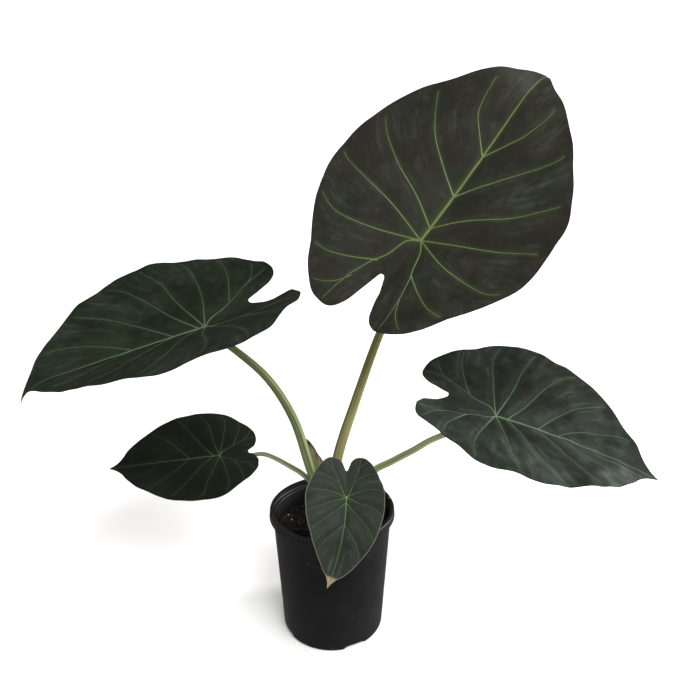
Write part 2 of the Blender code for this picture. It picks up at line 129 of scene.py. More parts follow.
# Widths, lobes, folds and cups are given for the left and the right half, and the sinus is a flat point.
# Heading, pitch, roll and folds are in degrees. Cups, droop, sway, twist, back_bend and tip_curl are
# bends in radians per metre. Quilting, waves and dimples are heights of the blade's relief, rib is half
# the midrib's width, and the stalk's points run from the crown to just below the junction.
Leaf = namedtuple("Leaf", "junction heading pitch roll length widths lobes sinus folds cups "
                          "droop sway twist back_bend tip_curl tip_start stalk base_radius neck_radius "
                          "quilting waves dimples rib vein_starts seed")
LEAVES = {
    "tall": Leaf(
        junction=(0.0965, 0.065, 0.435), heading=17.5, pitch=50, roll=22, length=0.232,
        widths=(0.98, 0.97), lobes=(1.02, 0.92), sinus=(-0.05, -0.23), folds=(15, 10.5), cups=(0, 0.2),
        droop=-0.8, sway=0.1, twist=1.9, back_bend=-0.9, tip_curl=40, tip_start=0.70,
        base_radius=0.0060, neck_radius=0.0036, quilting=0.0013, waves=0.0009, dimples=0.0006, rib=0.0039,
        vein_starts=(0.47, 0.25, 0.07), seed=3,
        stalk=((0.003, 0.007, 0.130), (0.0045, 0.0095, 0.165), (0.0067, 0.012, 0.204),
               (0.0265, 0.030, 0.264), (0.052, 0.051, 0.332), (0.076, 0.061, 0.385))),
    "left": Leaf(
        junction=(-0.132, 0.016, 0.352), heading=207, pitch=-11, roll=-4.5, length=0.194,
        widths=(1.0, 1.0), lobes=(0.97, 1.06), sinus=(0.07, -0.29), folds=(16.5, 21.5), cups=(0.8, 1.2),
        droop=0.4, sway=0.5, twist=-0.65, back_bend=-2.5, tip_curl=40, tip_start=0.75,
        base_radius=0.0058, neck_radius=0.0034, quilting=0.0009, waves=0.0014, dimples=0.0007, rib=0.0027,
        vein_starts=(0.39, 0.17, 0.03), seed=8,
        stalk=((-0.0095, -0.002, 0.130), (-0.0135, -0.001, 0.160), (-0.025, 0.001, 0.200),
               (-0.0415, 0.006, 0.253), (-0.0686, 0.012, 0.2967), (-0.1058, 0.0155, 0.3303))),
    "low_left": Leaf(
        junction=(-0.132, 0.0435, 0.189), heading=191.5, pitch=-1, roll=-4.5, length=0.123,
        widths=(1.01, 1.02), lobes=(0.69, 0.70), sinus=(0.03, -0.27), folds=(8.5, 10), cups=(2.2, 1.7),
        droop=0.3, sway=0.0, twist=-2.3, back_bend=0.8, tip_curl=0, tip_start=0.6,
        base_radius=0.0036, neck_radius=0.0019, quilting=0.0004, waves=0.0004, dimples=0.0003, rib=0.0012,
        vein_starts=(None, 0.28, 0.05), seed=12,
        stalk=((-0.0105, 0.0125, 0.130), (-0.0170, 0.0110, 0.160), (-0.0292, 0.010, 0.1795),
               (-0.0480, 0.021, 0.1870), (-0.0770, 0.044, 0.1895), (-0.0990, 0.0530, 0.1845))),
    "right": Leaf(
        junction=(0.166, -0.0385, 0.2745), heading=-16, pitch=-11, roll=6.7, length=0.164,
        widths=(1.0, 0.97), lobes=(1.02, 0.92), sinus=(-0.07, -0.31), folds=(14.5, 13), cups=(0, 1.3),
        droop=1.25, sway=0.2, twist=1.0, back_bend=-0.1, tip_curl=0.5, tip_start=0.6,
        base_radius=0.0044, neck_radius=0.0026, quilting=0.0016, waves=0.0012, dimples=0.0012, rib=0.0021,
        vein_starts=(0.38, 0.26, 0.07), seed=21,
        stalk=((0.0120, -0.0045, 0.130), (0.0170, -0.0045, 0.155), (0.044, -0.006, 0.1938),
               (0.0640, -0.0130, 0.2105), (0.0860, -0.0210, 0.2278), (0.1105, -0.030, 0.2475))),
    "front": Leaf(
        junction=(0.0165, -0.0745, 0.2035), heading=-91, pitch=-52, roll=-2.5, length=0.087,
        widths=(0.62, 0.66), lobes=(0.88, 0.88), sinus=(0.0, -0.30), folds=(12, 11.5), cups=(2, 2),
        droop=1.7, sway=4.5, twist=-0.2, back_bend=1.0, tip_curl=0, tip_start=0.6,
        base_radius=0.0034, neck_radius=0.0018, quilting=0.0007, waves=0.0005, dimples=0.0005, rib=0.0008,
        vein_starts=(None, 0.30, 0.06), seed=34,
        stalk=((0.0010, -0.0130, 0.130), (0.0015, -0.0165, 0.150), (0.004, -0.028, 0.174),
               (0.010, -0.050, 0.193))),
}


# ---- small helpers ------------------------------------------------------------------
def srgb(red, green, blue):
    """A colour as it looks on a screen, 0 to 255, in the linear numbers that shaders use."""
    def linear(value):
        value /= 255
        return value / 12.92 if value <= 0.04045 else ((value + 0.055) / 1.055) ** 2.4
    return (linear(red), linear(green), linear(blue), 1.0)


def smooth_line(points, steps):
    """Points evenly along a smooth line that passes through the given points."""
    control = np.array(points, float)
    ends = (2 * control[0] - control[1], 2 * control[-1] - control[-2])
    padded = np.vstack([ends[0], control, ends[1]])
    fine = []
    for before, start, end, after in zip(padded, padded[1:], padded[2:], padded[3:]):
        for share in np.linspace(0, 1, CURVE_STEPS, endpoint=False):
            fine.append(0.5 * (2 * start + (end - before) * share
                               + (2 * before - 5 * start + 4 * end - after) * share ** 2
                               + (3 * start - before - 3 * end + after) * share ** 3))
    fine = np.array(fine + [control[-1]])
    travelled = np.concatenate([[0], np.cumsum(np.linalg.norm(np.diff(fine, axis=0), axis=1))])
    wanted = np.linspace(0, travelled[-1], steps + 1)
    return np.column_stack([np.interp(wanted, travelled, column) for column in fine.T])


def mesh_object(name, data):
    """A new object in the scene for a mesh."""
    made = bpy.data.objects.new(name, data)
    bpy.context.scene.collection.objects.link(made)
    return made


def finished(rough):
    """The object's evaluated shape as a plain mesh under the same name, with no modifiers left."""
    bpy.context.view_layer.update()
    graph = bpy.context.evaluated_depsgraph_get()
    data = bpy.data.meshes.new_from_object(rough.evaluated_get(graph), preserve_all_data_layers=True,
                                           depsgraph=graph)
    data.transform(rough.matrix_world)
    name = rough.name
    bpy.data.objects.remove(rough, do_unlink=True)
    data.name = name
    return mesh_object(name, data)


def ring_faces(first, rings, around):
    """Quads between rings of points, each with as many points, from the given first point."""
    faces = []
    for ring in range(rings - 1):
        low, high = first + ring * around, first + (ring + 1) * around
        for index in range(around):
            after = (index + 1) % around
            faces.append((low + index, high + index, high + after, low + after))
    return faces


def circle(radius, count):
    """Points round a circle, as x and y."""
    return [(radius * math.cos(angle), radius * math.sin(angle))
            for angle in np.linspace(0, 2 * math.pi, count, endpoint=False)]


def store(data, name, values):
    """Keeps a number or a vector for each point of a mesh, as a named attribute."""
    values = np.asarray(values, np.float32)
    kind, key = ("FLOAT_VECTOR", "vector") if values.ndim == 2 else ("FLOAT", "value")
    layer = data.attributes.new(name, kind, "POINT")
    layer.data.foreach_set(key, values.ravel())


def place(piece, slot_name, *nodes):
    """Every piece rides on the one body and may stand for CAD nodes; its slot name is not used."""
    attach(piece, "root")
    if nodes:
        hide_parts(*nodes)


# ---- shader building blocks ---------------------------------------------------------
def add_node(tree, kind, values=None, **settings):
    """A node with its settings, and with each input set to a value or linked to a socket."""
    made = tree.nodes.new(kind)
    for key, value in settings.items():
        setattr(made, key, value)
    for key, value in (values or {}).items():
        if isinstance(value, bpy.types.NodeSocket):
            tree.links.new(value, made.inputs[key])
        else:
            made.inputs[key].default_value = value
    return made


def maths(tree, operation, first, second=0.0):
    """The result of one Math node."""
    return add_node(tree, "ShaderNodeMath", {0: first, 1: second}, operation=operation).outputs[0]


def blend_colours(tree, share, first, second):
    """The first colour where the share is 0, and the second where it is 1."""
    made = add_node(tree, "ShaderNodeMix", {0: share, 6: first, 7: second}, data_type="RGBA")
    return made.outputs[2]


def tinted(tree, colour, mask, strength, other):
    """The colour, moved towards another by as much as the strength where the mask is 1."""
    return blend_colours(tree, maths(tree, "MULTIPLY", mask, strength), colour, other)


def fine_noise(tree, place_on, scale, detail=2.0):
    """Even noise between 0 and 1."""
    made = add_node(tree, "ShaderNodeTexNoise", {"Vector": place_on, "Scale": scale, "Detail": detail})
    return made.outputs[0]


def ramp(tree, value, low, high):
    """0 below low, 1 above high and smooth in between, where low may be the larger."""
    made = add_node(tree, "ShaderNodeMapRange", {"Value": value, "From Min": low, "From Max": high},
                    interpolation_type="SMOOTHSTEP")
    return made.outputs["Result"]


def new_group(name, inputs, outputs):
    """A shader group with float, colour or vector sockets, and its input and output nodes."""
    tree = bpy.data.node_groups.new(name, "ShaderNodeTree")
    for title, kind, default in inputs:
        socket = tree.interface.new_socket(title, in_out="INPUT", socket_type=kind)
        if default is not None:
            socket.default_value = default
    for title, kind in outputs:
        tree.interface.new_socket(title, in_out="OUTPUT", socket_type=kind)
    return tree, tree.nodes.new("NodeGroupInput"), tree.nodes.new("NodeGroupOutput")


def use_group(tree, group, values):
    """Places a shader group in a tree, with its own values."""
    return add_node(tree, "ShaderNodeGroup", values, node_tree=group)


def new_material(name):
    """A material, its tree and its shader."""
    made = bpy.data.materials.new(name)
    made.use_nodes = True
    tree = made.node_tree
    return made, tree, tree.nodes["Principled BSDF"]


def dress(tree, shader, colour, roughness, gloss=0.5):
    """Sets a finish's colour, roughness and gloss; a plain number goes on the shader's own socket."""
    tree.links.new(colour, shader.inputs["Base Color"])
    if isinstance(roughness, bpy.types.NodeSocket):
        tree.links.new(roughness, shader.inputs["Roughness"])
    else:
        shader.inputs["Roughness"].default_value = roughness
    shader.inputs["Specular IOR Level"].default_value = gloss


def relief(tree, shader, height, distance, strength):
    """Bumps a finish by a pattern of heights."""
    bump = add_node(tree, "ShaderNodeBump", {"Height": height, "Distance": distance, "Strength": strength})
    tree.links.new(bump.outputs[0], shader.inputs["Normal"])


def mottle_group():
    """Cloudy patches at two scales."""
    tree, given, result = new_group("mottle", (("Place", "NodeSocketVector", None),
                                               ("Scale", "NodeSocketFloat", 20.0)),
                                    (("Mask", "NodeSocketFloat"),))
    large = add_node(tree, "ShaderNodeTexNoise", {"Vector": given.outputs[0], "Scale": given.outputs[1],
                                                  "Detail": 3.0, "Roughness": 0.55})
    finer = maths(tree, "MULTIPLY", given.outputs[1], 5.3)
    small = fine_noise(tree, given.outputs[0], finer)
    both = maths(tree, "ADD", maths(tree, "MULTIPLY", large.outputs[0], 0.7),
                 maths(tree, "MULTIPLY", small, 0.3))
    tree.links.new(ramp(tree, both, 0.36, 0.64), result.inputs[0])
    return tree


def specks_group():
    """Small scattered dots: 1 on a dot and 0 elsewhere."""
    tree, given, result = new_group("specks", (("Place", "NodeSocketVector", None),
                                               ("Scale", "NodeSocketFloat", 300.0),
                                               ("Size", "NodeSocketFloat", 0.22),
                                               ("Share", "NodeSocketFloat", 0.1)),
                                    (("Mask", "NodeSocketFloat"),))
    cells = add_node(tree, "ShaderNodeTexVoronoi", {"Vector": given.outputs[0], "Scale": given.outputs[1]})
    dot = maths(tree, "LESS_THAN", cells.outputs["Distance"], given.outputs[2])
    parts = add_node(tree, "ShaderNodeSeparateColor", {"Color": cells.outputs["Color"]})
    chosen = maths(tree, "LESS_THAN", parts.outputs[0], given.outputs[3])
    tree.links.new(maths(tree, "MULTIPLY", dot, chosen), result.inputs[0])
    return tree


def netting_group():
    """The faint net of the smallest veins: 0 along its threads and 1 in its meshes."""
    tree, given, result = new_group("netting", (("Place", "NodeSocketVector", None),
                                                ("Scale", "NodeSocketFloat", 420.0)),
                                    (("Height", "NodeSocketFloat"),))
    bend = add_node(tree, "ShaderNodeTexNoise", {"Vector": given.outputs[0], "Scale": 160.0})
    moved = add_node(tree, "ShaderNodeMix", {0: 0.004, 4: given.outputs[0], 5: bend.outputs["Color"]},
                     data_type="VECTOR")
    cells = add_node(tree, "ShaderNodeTexVoronoi", {"Vector": moved.outputs[1], "Scale": given.outputs[1]},
                     feature="DISTANCE_TO_EDGE")
    tree.links.new(ramp(tree, cells.outputs["Distance"], 0.0, 0.22), result.inputs[0])
    return tree


def hairlines_group():
    """Fine lines that run beside the main veins, from a blade's own measures."""
    tree, given, result = new_group("hairlines", (("From Vein", "NodeSocketFloat", 0.0),
                                                  ("Along Vein", "NodeSocketFloat", 0.0),
                                                  ("Spacing", "NodeSocketFloat", 0.0022)),
                                    (("Lines", "NodeSocketFloat"), ("Streaks", "NodeSocketFloat"),
                                     ("Sheen", "NodeSocketFloat")))
    from_vein, along_vein, spacing = given.outputs[0], given.outputs[1], given.outputs[2]
    wander = add_node(tree, "ShaderNodeCombineXYZ", {"X": along_vein, "Y": from_vein})
    drift = fine_noise(tree, wander.outputs[0], 55.0, 1.0)
    phase = maths(tree, "ADD", maths(tree, "DIVIDE", from_vein, spacing),
                  maths(tree, "MULTIPLY", drift, 1.1))
    wave = maths(tree, "SINE", maths(tree, "MULTIPLY", phase, 2 * math.pi))
    crest = maths(tree, "POWER", maths(tree, "ADD", maths(tree, "MULTIPLY", wave, 0.5), 0.5), 3.0)
    tree.links.new(crest, result.inputs[0])
    stretched = add_node(tree, "ShaderNodeCombineXYZ", {"X": maths(tree, "MULTIPLY", along_vein, 42.0),
                                                        "Y": maths(tree, "MULTIPLY", from_vein, 330.0)})
    streaks = add_node(tree, "ShaderNodeTexNoise", {"Vector": stretched.outputs[0], "Scale": 1.0,
                                                    "Detail": 4.0, "Roughness": 0.6})
    tree.links.new(streaks.outputs[0], result.inputs[1])
    # Sheen: broad streaks that place the painted sheen on the blades' upper faces.
    broad = add_node(tree, "ShaderNodeVectorMath", {0: stretched.outputs[0], "Scale": 0.42},
                     operation="SCALE")
    sheen = add_node(tree, "ShaderNodeTexNoise", {"Vector": broad.outputs[0], "Scale": 1.0, "Detail": 2.5,
                                                  "Distortion": 0.4})
    tree.links.new(sheen.outputs[0], result.inputs[2])
    return tree


MOTTLE = mottle_group()
SPECKS = specks_group()
NETTING = netting_group()
HAIRLINES = hairlines_group()


def mottled(tree, place_on, scale):
    """Cloudy patches, from the shared group."""
    return use_group(tree, MOTTLE, {"Place": place_on, "Scale": scale}).outputs[0]


def speckled(tree, place_on, scale, size, share):
    """Scattered dots, from the shared group: their size and share are parts of 1."""
    dots = use_group(tree, SPECKS, {"Place": place_on, "Scale": scale, "Size": size, "Share": share})
    return dots.outputs[0]


def object_place(tree):
    """Where a point lies on the plant, in metres."""
    return add_node(tree, "ShaderNodeTexCoord").outputs["Object"]


def measure(tree, name, output="Fac"):
    """A number or vector that a mesh keeps for each point."""
    return add_node(tree, "ShaderNodeAttribute", attribute_name=name).outputs[output]


# ---- leaf finishes ------------------------------------------------------------------
# A tone's share after the vein colour sets how strongly the pale streaks of painted sheen show on its blade.
LeafTone = namedtuple("LeafTone", "body shade blush glow edge midrib vein mist glow_share roughness gloss "
                                  "dry_tip")
LEAF_TONES = {
    "tall": LeafTone(srgb(43, 46, 39), srgb(30, 32, 27), srgb(46, 33, 29), srgb(52, 68, 30),
                     srgb(24, 26, 20), srgb(96, 102, 50), srgb(104, 119, 84), 0.22, 0.8, 0.50, 0.12, False),
    "left": LeafTone(srgb(31, 39, 29), srgb(18, 24, 16), srgb(28, 31, 20), srgb(36, 53, 31),
                     srgb(15, 19, 11), srgb(78, 94, 65), srgb(54, 71, 48), 0.14, 0.65, 0.56, 0.07, False),
    "low_left": LeafTone(srgb(21, 28, 17), srgb(13, 17, 9), srgb(20, 22, 12), srgb(28, 46, 23),
                         srgb(9, 12, 7), srgb(60, 80, 50), srgb(40, 54, 33), 0.08, 0.6, 0.54, 0.12, False),
    "right": LeafTone(srgb(39, 48, 41), srgb(24, 28, 23), srgb(34, 34, 28), srgb(42, 60, 43),
                      srgb(15, 18, 13), srgb(84, 100, 72), srgb(66, 82, 61), 0.34, 0.7, 0.48, 0.10, False),
    "front": LeafTone(srgb(38, 44, 37), srgb(29, 33, 26), srgb(34, 36, 27), srgb(41, 62, 37),
                      srgb(106, 112, 92), srgb(72, 108, 50), srgb(54, 62, 52), 0.42, 0.36, 0.52, 0.12, True),
}
DRY_TAN = srgb(133, 121, 98)
# Pale grey-green of the painted sheen streaks, and of the small specks on the upper face.
PAINTED_SHEEN_AND_SPECK_TINT = srgb(96, 110, 100)
UNDERSIDE = srgb(74, 74, 58)
UNDERSIDE_BLUSH = srgb(70, 52, 48)
UNDERSIDE_GREEN = srgb(92, 112, 62)
EDGE_FADE = (0.0011, 0.0003)  # metres from the edge where its line of colour starts and is full
DRY_TIP = (0.885, 0.93)       # blade lengths where a dry tip starts and is full


def blade_finish(name, tone):
    """The upper face: dark body, green beside the veins, pale streaks of painted sheen and a fine grain."""
    material, tree, shader = new_material(name + "_blade")
    place_on = object_place(tree)
    from_vein, along_vein = measure(tree, "from_vein"), measure(tree, "along_vein")
    lines = use_group(tree, HAIRLINES, {"From Vein": from_vein, "Along Vein": along_vein})
    patches = mottled(tree, place_on, 22.0)
    colour = blend_colours(tree, patches, tone.shade, tone.body)
    colour = tinted(tree, colour, mottled(tree, place_on, 9.0), 0.45, tone.blush)
    # Painted sheen: pale grey-green streaks in the mottled patches stand in for light reflected off the
    # blade.
    painted_sheen_mask = ramp(tree, lines.outputs["Sheen"], 0.42, 0.78)
    colour = tinted(tree, colour, maths(tree, "MULTIPLY", painted_sheen_mask, patches), tone.mist, PAINTED_SHEEN_AND_SPECK_TINT)
    colour = tinted(tree, colour, lines.outputs["Lines"], 0.07, tone.glow)
    colour = tinted(tree, colour, measure(tree, "glow"), tone.glow_share, tone.glow)
    colour = tinted(tree, colour, ramp(tree, measure(tree, "from_edge"), *EDGE_FADE), 0.8, tone.edge)
    colour = tinted(tree, colour, speckled(tree, place_on, 380.0, 0.15, 0.03), 0.4, PAINTED_SHEEN_AND_SPECK_TINT)
    if tone.dry_tip:
        ragged = maths(tree, "MULTIPLY", lines.outputs["Streaks"], 0.06)
        tip = ramp(tree, maths(tree, "ADD", measure(tree, "reach"), ragged), *DRY_TIP)
        colour = blend_colours(tree, tip, colour, DRY_TAN)
    rough = maths(tree, "ADD", tone.roughness - 0.06, maths(tree, "MULTIPLY", patches, 0.12))
    dress(tree, shader, colour, rough, tone.gloss)
    height = maths(tree, "MULTIPLY", lines.outputs["Streaks"], 0.8)
    net = use_group(tree, NETTING, {"Place": place_on}).outputs[0]
    for pattern, share in ((lines.outputs["Lines"], 0.10), (fine_noise(tree, place_on, 900.0), 0.12),
                           (net, 0.16)):
        height = maths(tree, "ADD", height, maths(tree, "MULTIPLY", pattern, share))
    relief(tree, shader, height, 0.0006, 0.55)
    return material


def underside_finish(name):
    """The lower face: paler and duller than the upper, with a maroon blush between the veins."""
    material, tree, shader = new_material(name + "_underside")
    from_vein = measure(tree, "from_vein")
    along_vein = measure(tree, "along_vein")
    lines = use_group(tree, HAIRLINES, {"From Vein": from_vein, "Along Vein": along_vein}).outputs["Lines"]
    patches = mottled(tree, object_place(tree), 16.0)
    colour = blend_colours(tree, maths(tree, "MULTIPLY", patches, 0.8), UNDERSIDE, UNDERSIDE_BLUSH)
    near = maths(tree, "EXPONENT", maths(tree, "MULTIPLY", from_vein, -420.0))
    colour = tinted(tree, colour, near, 0.7, UNDERSIDE_GREEN)
    colour = tinted(tree, colour, lines, 0.2, UNDERSIDE_GREEN)
    dress(tree, shader, colour, maths(tree, "ADD", 0.52, maths(tree, "MULTIPLY", patches, 0.1)))
    relief(tree, shader, lines, 0.0004, 0.6)
    return material


def vein_finish(name, tone):
    """Ribs: the midrib brighter than the side veins, in faint patches."""
    material, tree, shader = new_material(name + "_veins")
    place_on = object_place(tree)
    away = measure(tree, "away")
    patches = mottled(tree, place_on, 60.0)
    is_side = maths(tree, "GREATER_THAN", away, SIDE_VEIN_MARK)
    from_heart = maths(tree, "FRACT", away)
    colour = tinted(tree, tone.midrib, ramp(tree, from_heart, 0.03, 0.22), is_side, tone.vein)
    darker = blend_colours(tree, 0.35, colour, tone.vein)
    colour = blend_colours(tree, patches, colour, darker)
    dress(tree, shader, colour, maths(tree, "ADD", 0.42, maths(tree, "MULTIPLY", patches, 0.12)))
    relief(tree, shader, fine_noise(tree, place_on, 1200.0), 0.0002, 0.4)
    return material


# ---- leaf shapes --------------------------------------------------------------------
def half_outline(leaf, side):
    """One half of a blade's edge, from the tip round the lobe to the sinus; side 1 is the right."""
    which = 1 if side > 0 else 0
    lobe, width = leaf.lobes[which], leaf.widths[which]
    points = [(width * u, v * lobe if v < 0 else v) for u, v in OUTER_EDGE]
    end = np.array([width * LOBE_END[0], lobe * LOBE_END[1]])
    sinus = np.array([side * leaf.sinus[0], leaf.sinus[1]])
    points += [end, *(sinus + (end - sinus) * shares for shares in np.array(INNER_EDGE))]
    return [(side * u * leaf.length, v * leaf.length) for u, v in points]


def start_frame(leaf):
    """Unit vectors at the heart: along the midrib, across to the right, and up from the face."""
    heading, pitch = math.radians(leaf.heading), math.radians(leaf.pitch)
    level = np.array([math.cos(heading), math.sin(heading), 0.0])
    along = level * math.cos(pitch) + np.array([0.0, 0.0, math.sin(pitch)])
    across = np.array([math.sin(heading), -math.cos(heading), 0.0])
    up = np.cross(across, along)
    lean = math.radians(leaf.roll)
    right = across * math.cos(lean) - up * math.sin(lean)
    return along, right, up * math.cos(lean) + across * math.sin(lean)


def turn(first, second, angle):
    """Both unit vectors turned in their own plane, the first towards the second's reverse."""
    return (first * math.cos(angle) - second * math.sin(angle),
            second * math.cos(angle) + first * math.sin(angle))


def spine(leaf):
    """Frames along the midrib: rows of distance, point, across and up."""
    rows = []
    for direction, reach in SPINE_REACHES:
        point = np.array(leaf.junction)
        along, across, up = start_frame(leaf)
        frames = [(0.0, point, across, up)]
        for index in range(math.ceil(reach * leaf.length / SPINE_STEP)):
            middle = (index + 0.5) * SPINE_STEP / leaf.length
            bend = leaf.droop if direction > 0 else leaf.back_bend
            if direction > 0:
                bend += leaf.tip_curl * max(0.0, middle - leaf.tip_start) / (1 - leaf.tip_start)
            step = direction * SPINE_STEP
            along, up = turn(along, up, bend * step)
            if direction > 0:
                across, along = turn(across, along, leaf.sway * step)
            across, up = turn(across, up, leaf.twist * step)
            point = point + along * step
            frames.append((direction * (index + 1) * SPINE_STEP, point, across, up))
        rows = frames[:0:-1] if direction < 0 else rows + frames
    return np.array([[row[0], *row[1], *row[2], *row[3]] for row in rows])


def bent(leaf, frames, flat):
    """Where points of the flat blade lie once the blade is bent."""
    across, along = flat[:, 0], flat[:, 1]
    rows = np.column_stack([np.interp(along, frames[:, 0], column) for column in frames[:, 1:].T])
    right = across > 0
    fold = np.radians(np.where(right, leaf.folds[1], leaf.folds[0]))
    cup = np.maximum(np.where(right, leaf.cups[1], leaf.cups[0]), 0.0001)
    reach = np.abs(across)
    sideways = np.sign(across) * (np.sin(fold) - np.sin(fold - cup * reach)) / cup
    lift = (np.cos(fold - cup * reach) - np.cos(fold)) / cup
    return rows[:, 0:3] + rows[:, 3:6] * sideways[:, None] + rows[:, 6:9] * lift[:, None]


def facing(leaf, frames, flat):
    """The bent blade's upward unit normals."""
    nudge = 0.0004
    side = bent(leaf, frames, flat + [nudge, 0]) - bent(leaf, frames, flat - [nudge, 0])
    ahead = bent(leaf, frames, flat + [0, nudge]) - bent(leaf, frames, flat - [0, nudge])
    normal = np.cross(side, ahead)
    return normal / np.linalg.norm(normal, axis=1)[:, None]


def vein_plan(leaf, edge):
    """Every vein of a blade, as flat points and half widths in metres, with none reaching the edge."""
    draw = random.Random(leaf.seed)
    plan = []
    middle = np.array([(0.0, v) for v in np.linspace(0, MIDRIB_REACH, MIDRIB_STEPS)]) * leaf.length
    plan.append((middle, leaf.rib * (0.14 + 0.86 * np.linspace(1, 0, MIDRIB_STEPS) ** 1.6)))
    for side in (-1, 1):
        which = 1 if side > 0 else 0
        for index, (half_width, path) in enumerate(SIDE_VEINS):
            slide = 0.0
            if index < VEINS_ON_MIDRIB:
                if leaf.vein_starts[index] is None:
                    continue
                slide = leaf.vein_starts[index] - path[0][1]
            points = []
            for step, (u, v) in enumerate(path):
                v += slide * (1 - step / (len(path) - 1))
                wander = VEIN_WANDER if step > 0 and index < FIRST_BRANCH else 0.0
                u, v = u + draw.uniform(-wander, wander), v + draw.uniform(-wander, wander)
                points.append((side * u * leaf.widths[which], v * leaf.lobes[which] if v < 0 else v))
            line = smooth_line(np.array(points) * leaf.length, VEIN_STEPS)
            inside = share_to_edge(line, edge)[0] < VEINS_STOP_AT
            line = line[:len(line) if inside.all() else int(np.argmin(inside))]
            shares = np.linspace(0, 1, len(line))
            taper = 1 - 0.78 * shares ** 1.3
            if index <= FIRST_BRANCH:
                taper += 0.7 * np.exp(-12 * shares)
            plan.append((line, taper * half_width * leaf.length * VEIN_FULLNESS))
    return plan


def nearest_vein(flat, plan):
    """For flat points: distance to the nearest vein, how far along it, and the green glow beside veins."""
    best, along = np.full(len(flat), 1.0), np.zeros(len(flat))
    glow = np.exp(-(np.linalg.norm(flat, axis=1) / HEART_GLOW) ** 2)
    for line, widths in plan:
        travelled = np.concatenate([[0], np.cumsum(np.linalg.norm(np.diff(line, axis=0), axis=1))])
        for index in range(len(line) - 1):
            start, step = line[index], line[index + 1] - line[index]
            share = np.clip(((flat - start) @ step) / max(step @ step, 1e-12), 0, 1)
            gap = np.linalg.norm(flat - start - share[:, None] * step, axis=1)
            closer = gap < best
            best = np.where(closer, gap, best)
            along = np.where(closer, travelled[index] + share * np.linalg.norm(step), along)
            outside = np.maximum(gap - widths[index] * 0.8, 0)
            glow = np.maximum(glow, np.exp(-outside / (GLOW_REACH + widths[index] * 0.5)))
    return best, along, glow


def share_to_edge(flat, edge):
    """How far out each flat point lies, from 0 at the heart to 1 on the edge."""
    around = np.arctan2(edge[:, 0], edge[:, 1])
    order = np.argsort(around)
    reach = np.linalg.norm(edge, axis=1)[order]
    here = np.arctan2(flat[:, 0], flat[:, 1])
    limit = np.interp(here, around[order], reach, period=2 * math.pi)
    return np.linalg.norm(flat, axis=1) / limit, here


def away_from_sinus(around):
    """1 over most of the blade, and down to 0 where the edge turns in between the lobes."""
    return np.clip((math.pi - np.abs(around)) * 3, 0, 1)


def raised(leaf, frames, flat, edge, gap):
    """The blade's upper face: pillows between the veins, and a gentle wave along the edge."""
    share, around = share_to_edge(flat, edge)
    pillow = 1 - np.exp(-(gap / (PILLOW_RISE * leaf.length)) ** 2)
    pillow *= leaf.quilting * (1 - share ** 6)
    wave = np.sin(around * 9 + leaf.seed) + 0.6 * np.sin(around * 16 + 2 * leaf.seed)
    lift = pillow + leaf.waves * wave * share ** 5 * away_from_sinus(around)
    offset = Vector((leaf.seed, 0.0, 0.0))
    rough = [noise.noise(Vector((u, v, 0.0)) * DIMPLES_PER_METRE + offset) for u, v in flat.tolist()]
    lift = lift + leaf.dimples * np.array(rough) * np.minimum(share * 2, 1)
    normal = facing(leaf, frames, flat)
    return bent(leaf, frames, flat) + normal * lift[:, None], normal


def blade_edge(leaf):
    """The blade's whole edge as flat points, with a faint scallop that leaves the tip and sinus alone."""
    edge = np.vstack([smooth_line(half_outline(leaf, 1), EDGE_STEPS),
                      smooth_line(half_outline(leaf, -1), EDGE_STEPS)[-2:0:-1]])
    around = np.arctan2(edge[:, 0], edge[:, 1])
    scallop = 0.004 * np.sin(around * 11 + leaf.seed) + 0.002 * np.sin(around * 23 + 3 * leaf.seed)
    calm = np.clip(np.abs(around) * 3, 0, 1) * away_from_sinus(around)
    reach = np.linalg.norm(edge, axis=1) * (1 + scallop * calm)
    least_turn = LEAST_TURN * np.arange(len(edge))
    around = np.maximum.accumulate(np.unwrap(around) - least_turn) + least_turn
    return np.column_stack([np.sin(around), np.cos(around)]) * reach[:, None]


def build_ribs(name, leaf, frames, edge, plan):
    """The midrib and the side veins, as tubes sunk into the upper face."""
    ribs = []
    for line, widths in plan:
        radii = np.maximum(widths, THINNEST_VEIN)
        centre, normal = raised(leaf, frames, line, edge, np.zeros(len(line)))
        proud = VEIN_STANDS_PROUD if ribs else MIDRIB_STANDS_PROUD
        sink = radii - np.minimum(proud, radii * 0.45)
        away = np.linalg.norm(line, axis=1) / leaf.length + (SIDE_VEIN_MARK if ribs else 0.0)
        ribs.append((centre - normal * sink[:, None], radii, away))
    veins = follow_paths(name + "_veins", ribs, RIBS, vein_finish(name, LEAF_TONES[name]), VEIN_SIDES)
    place(veins, "blade_" + name)


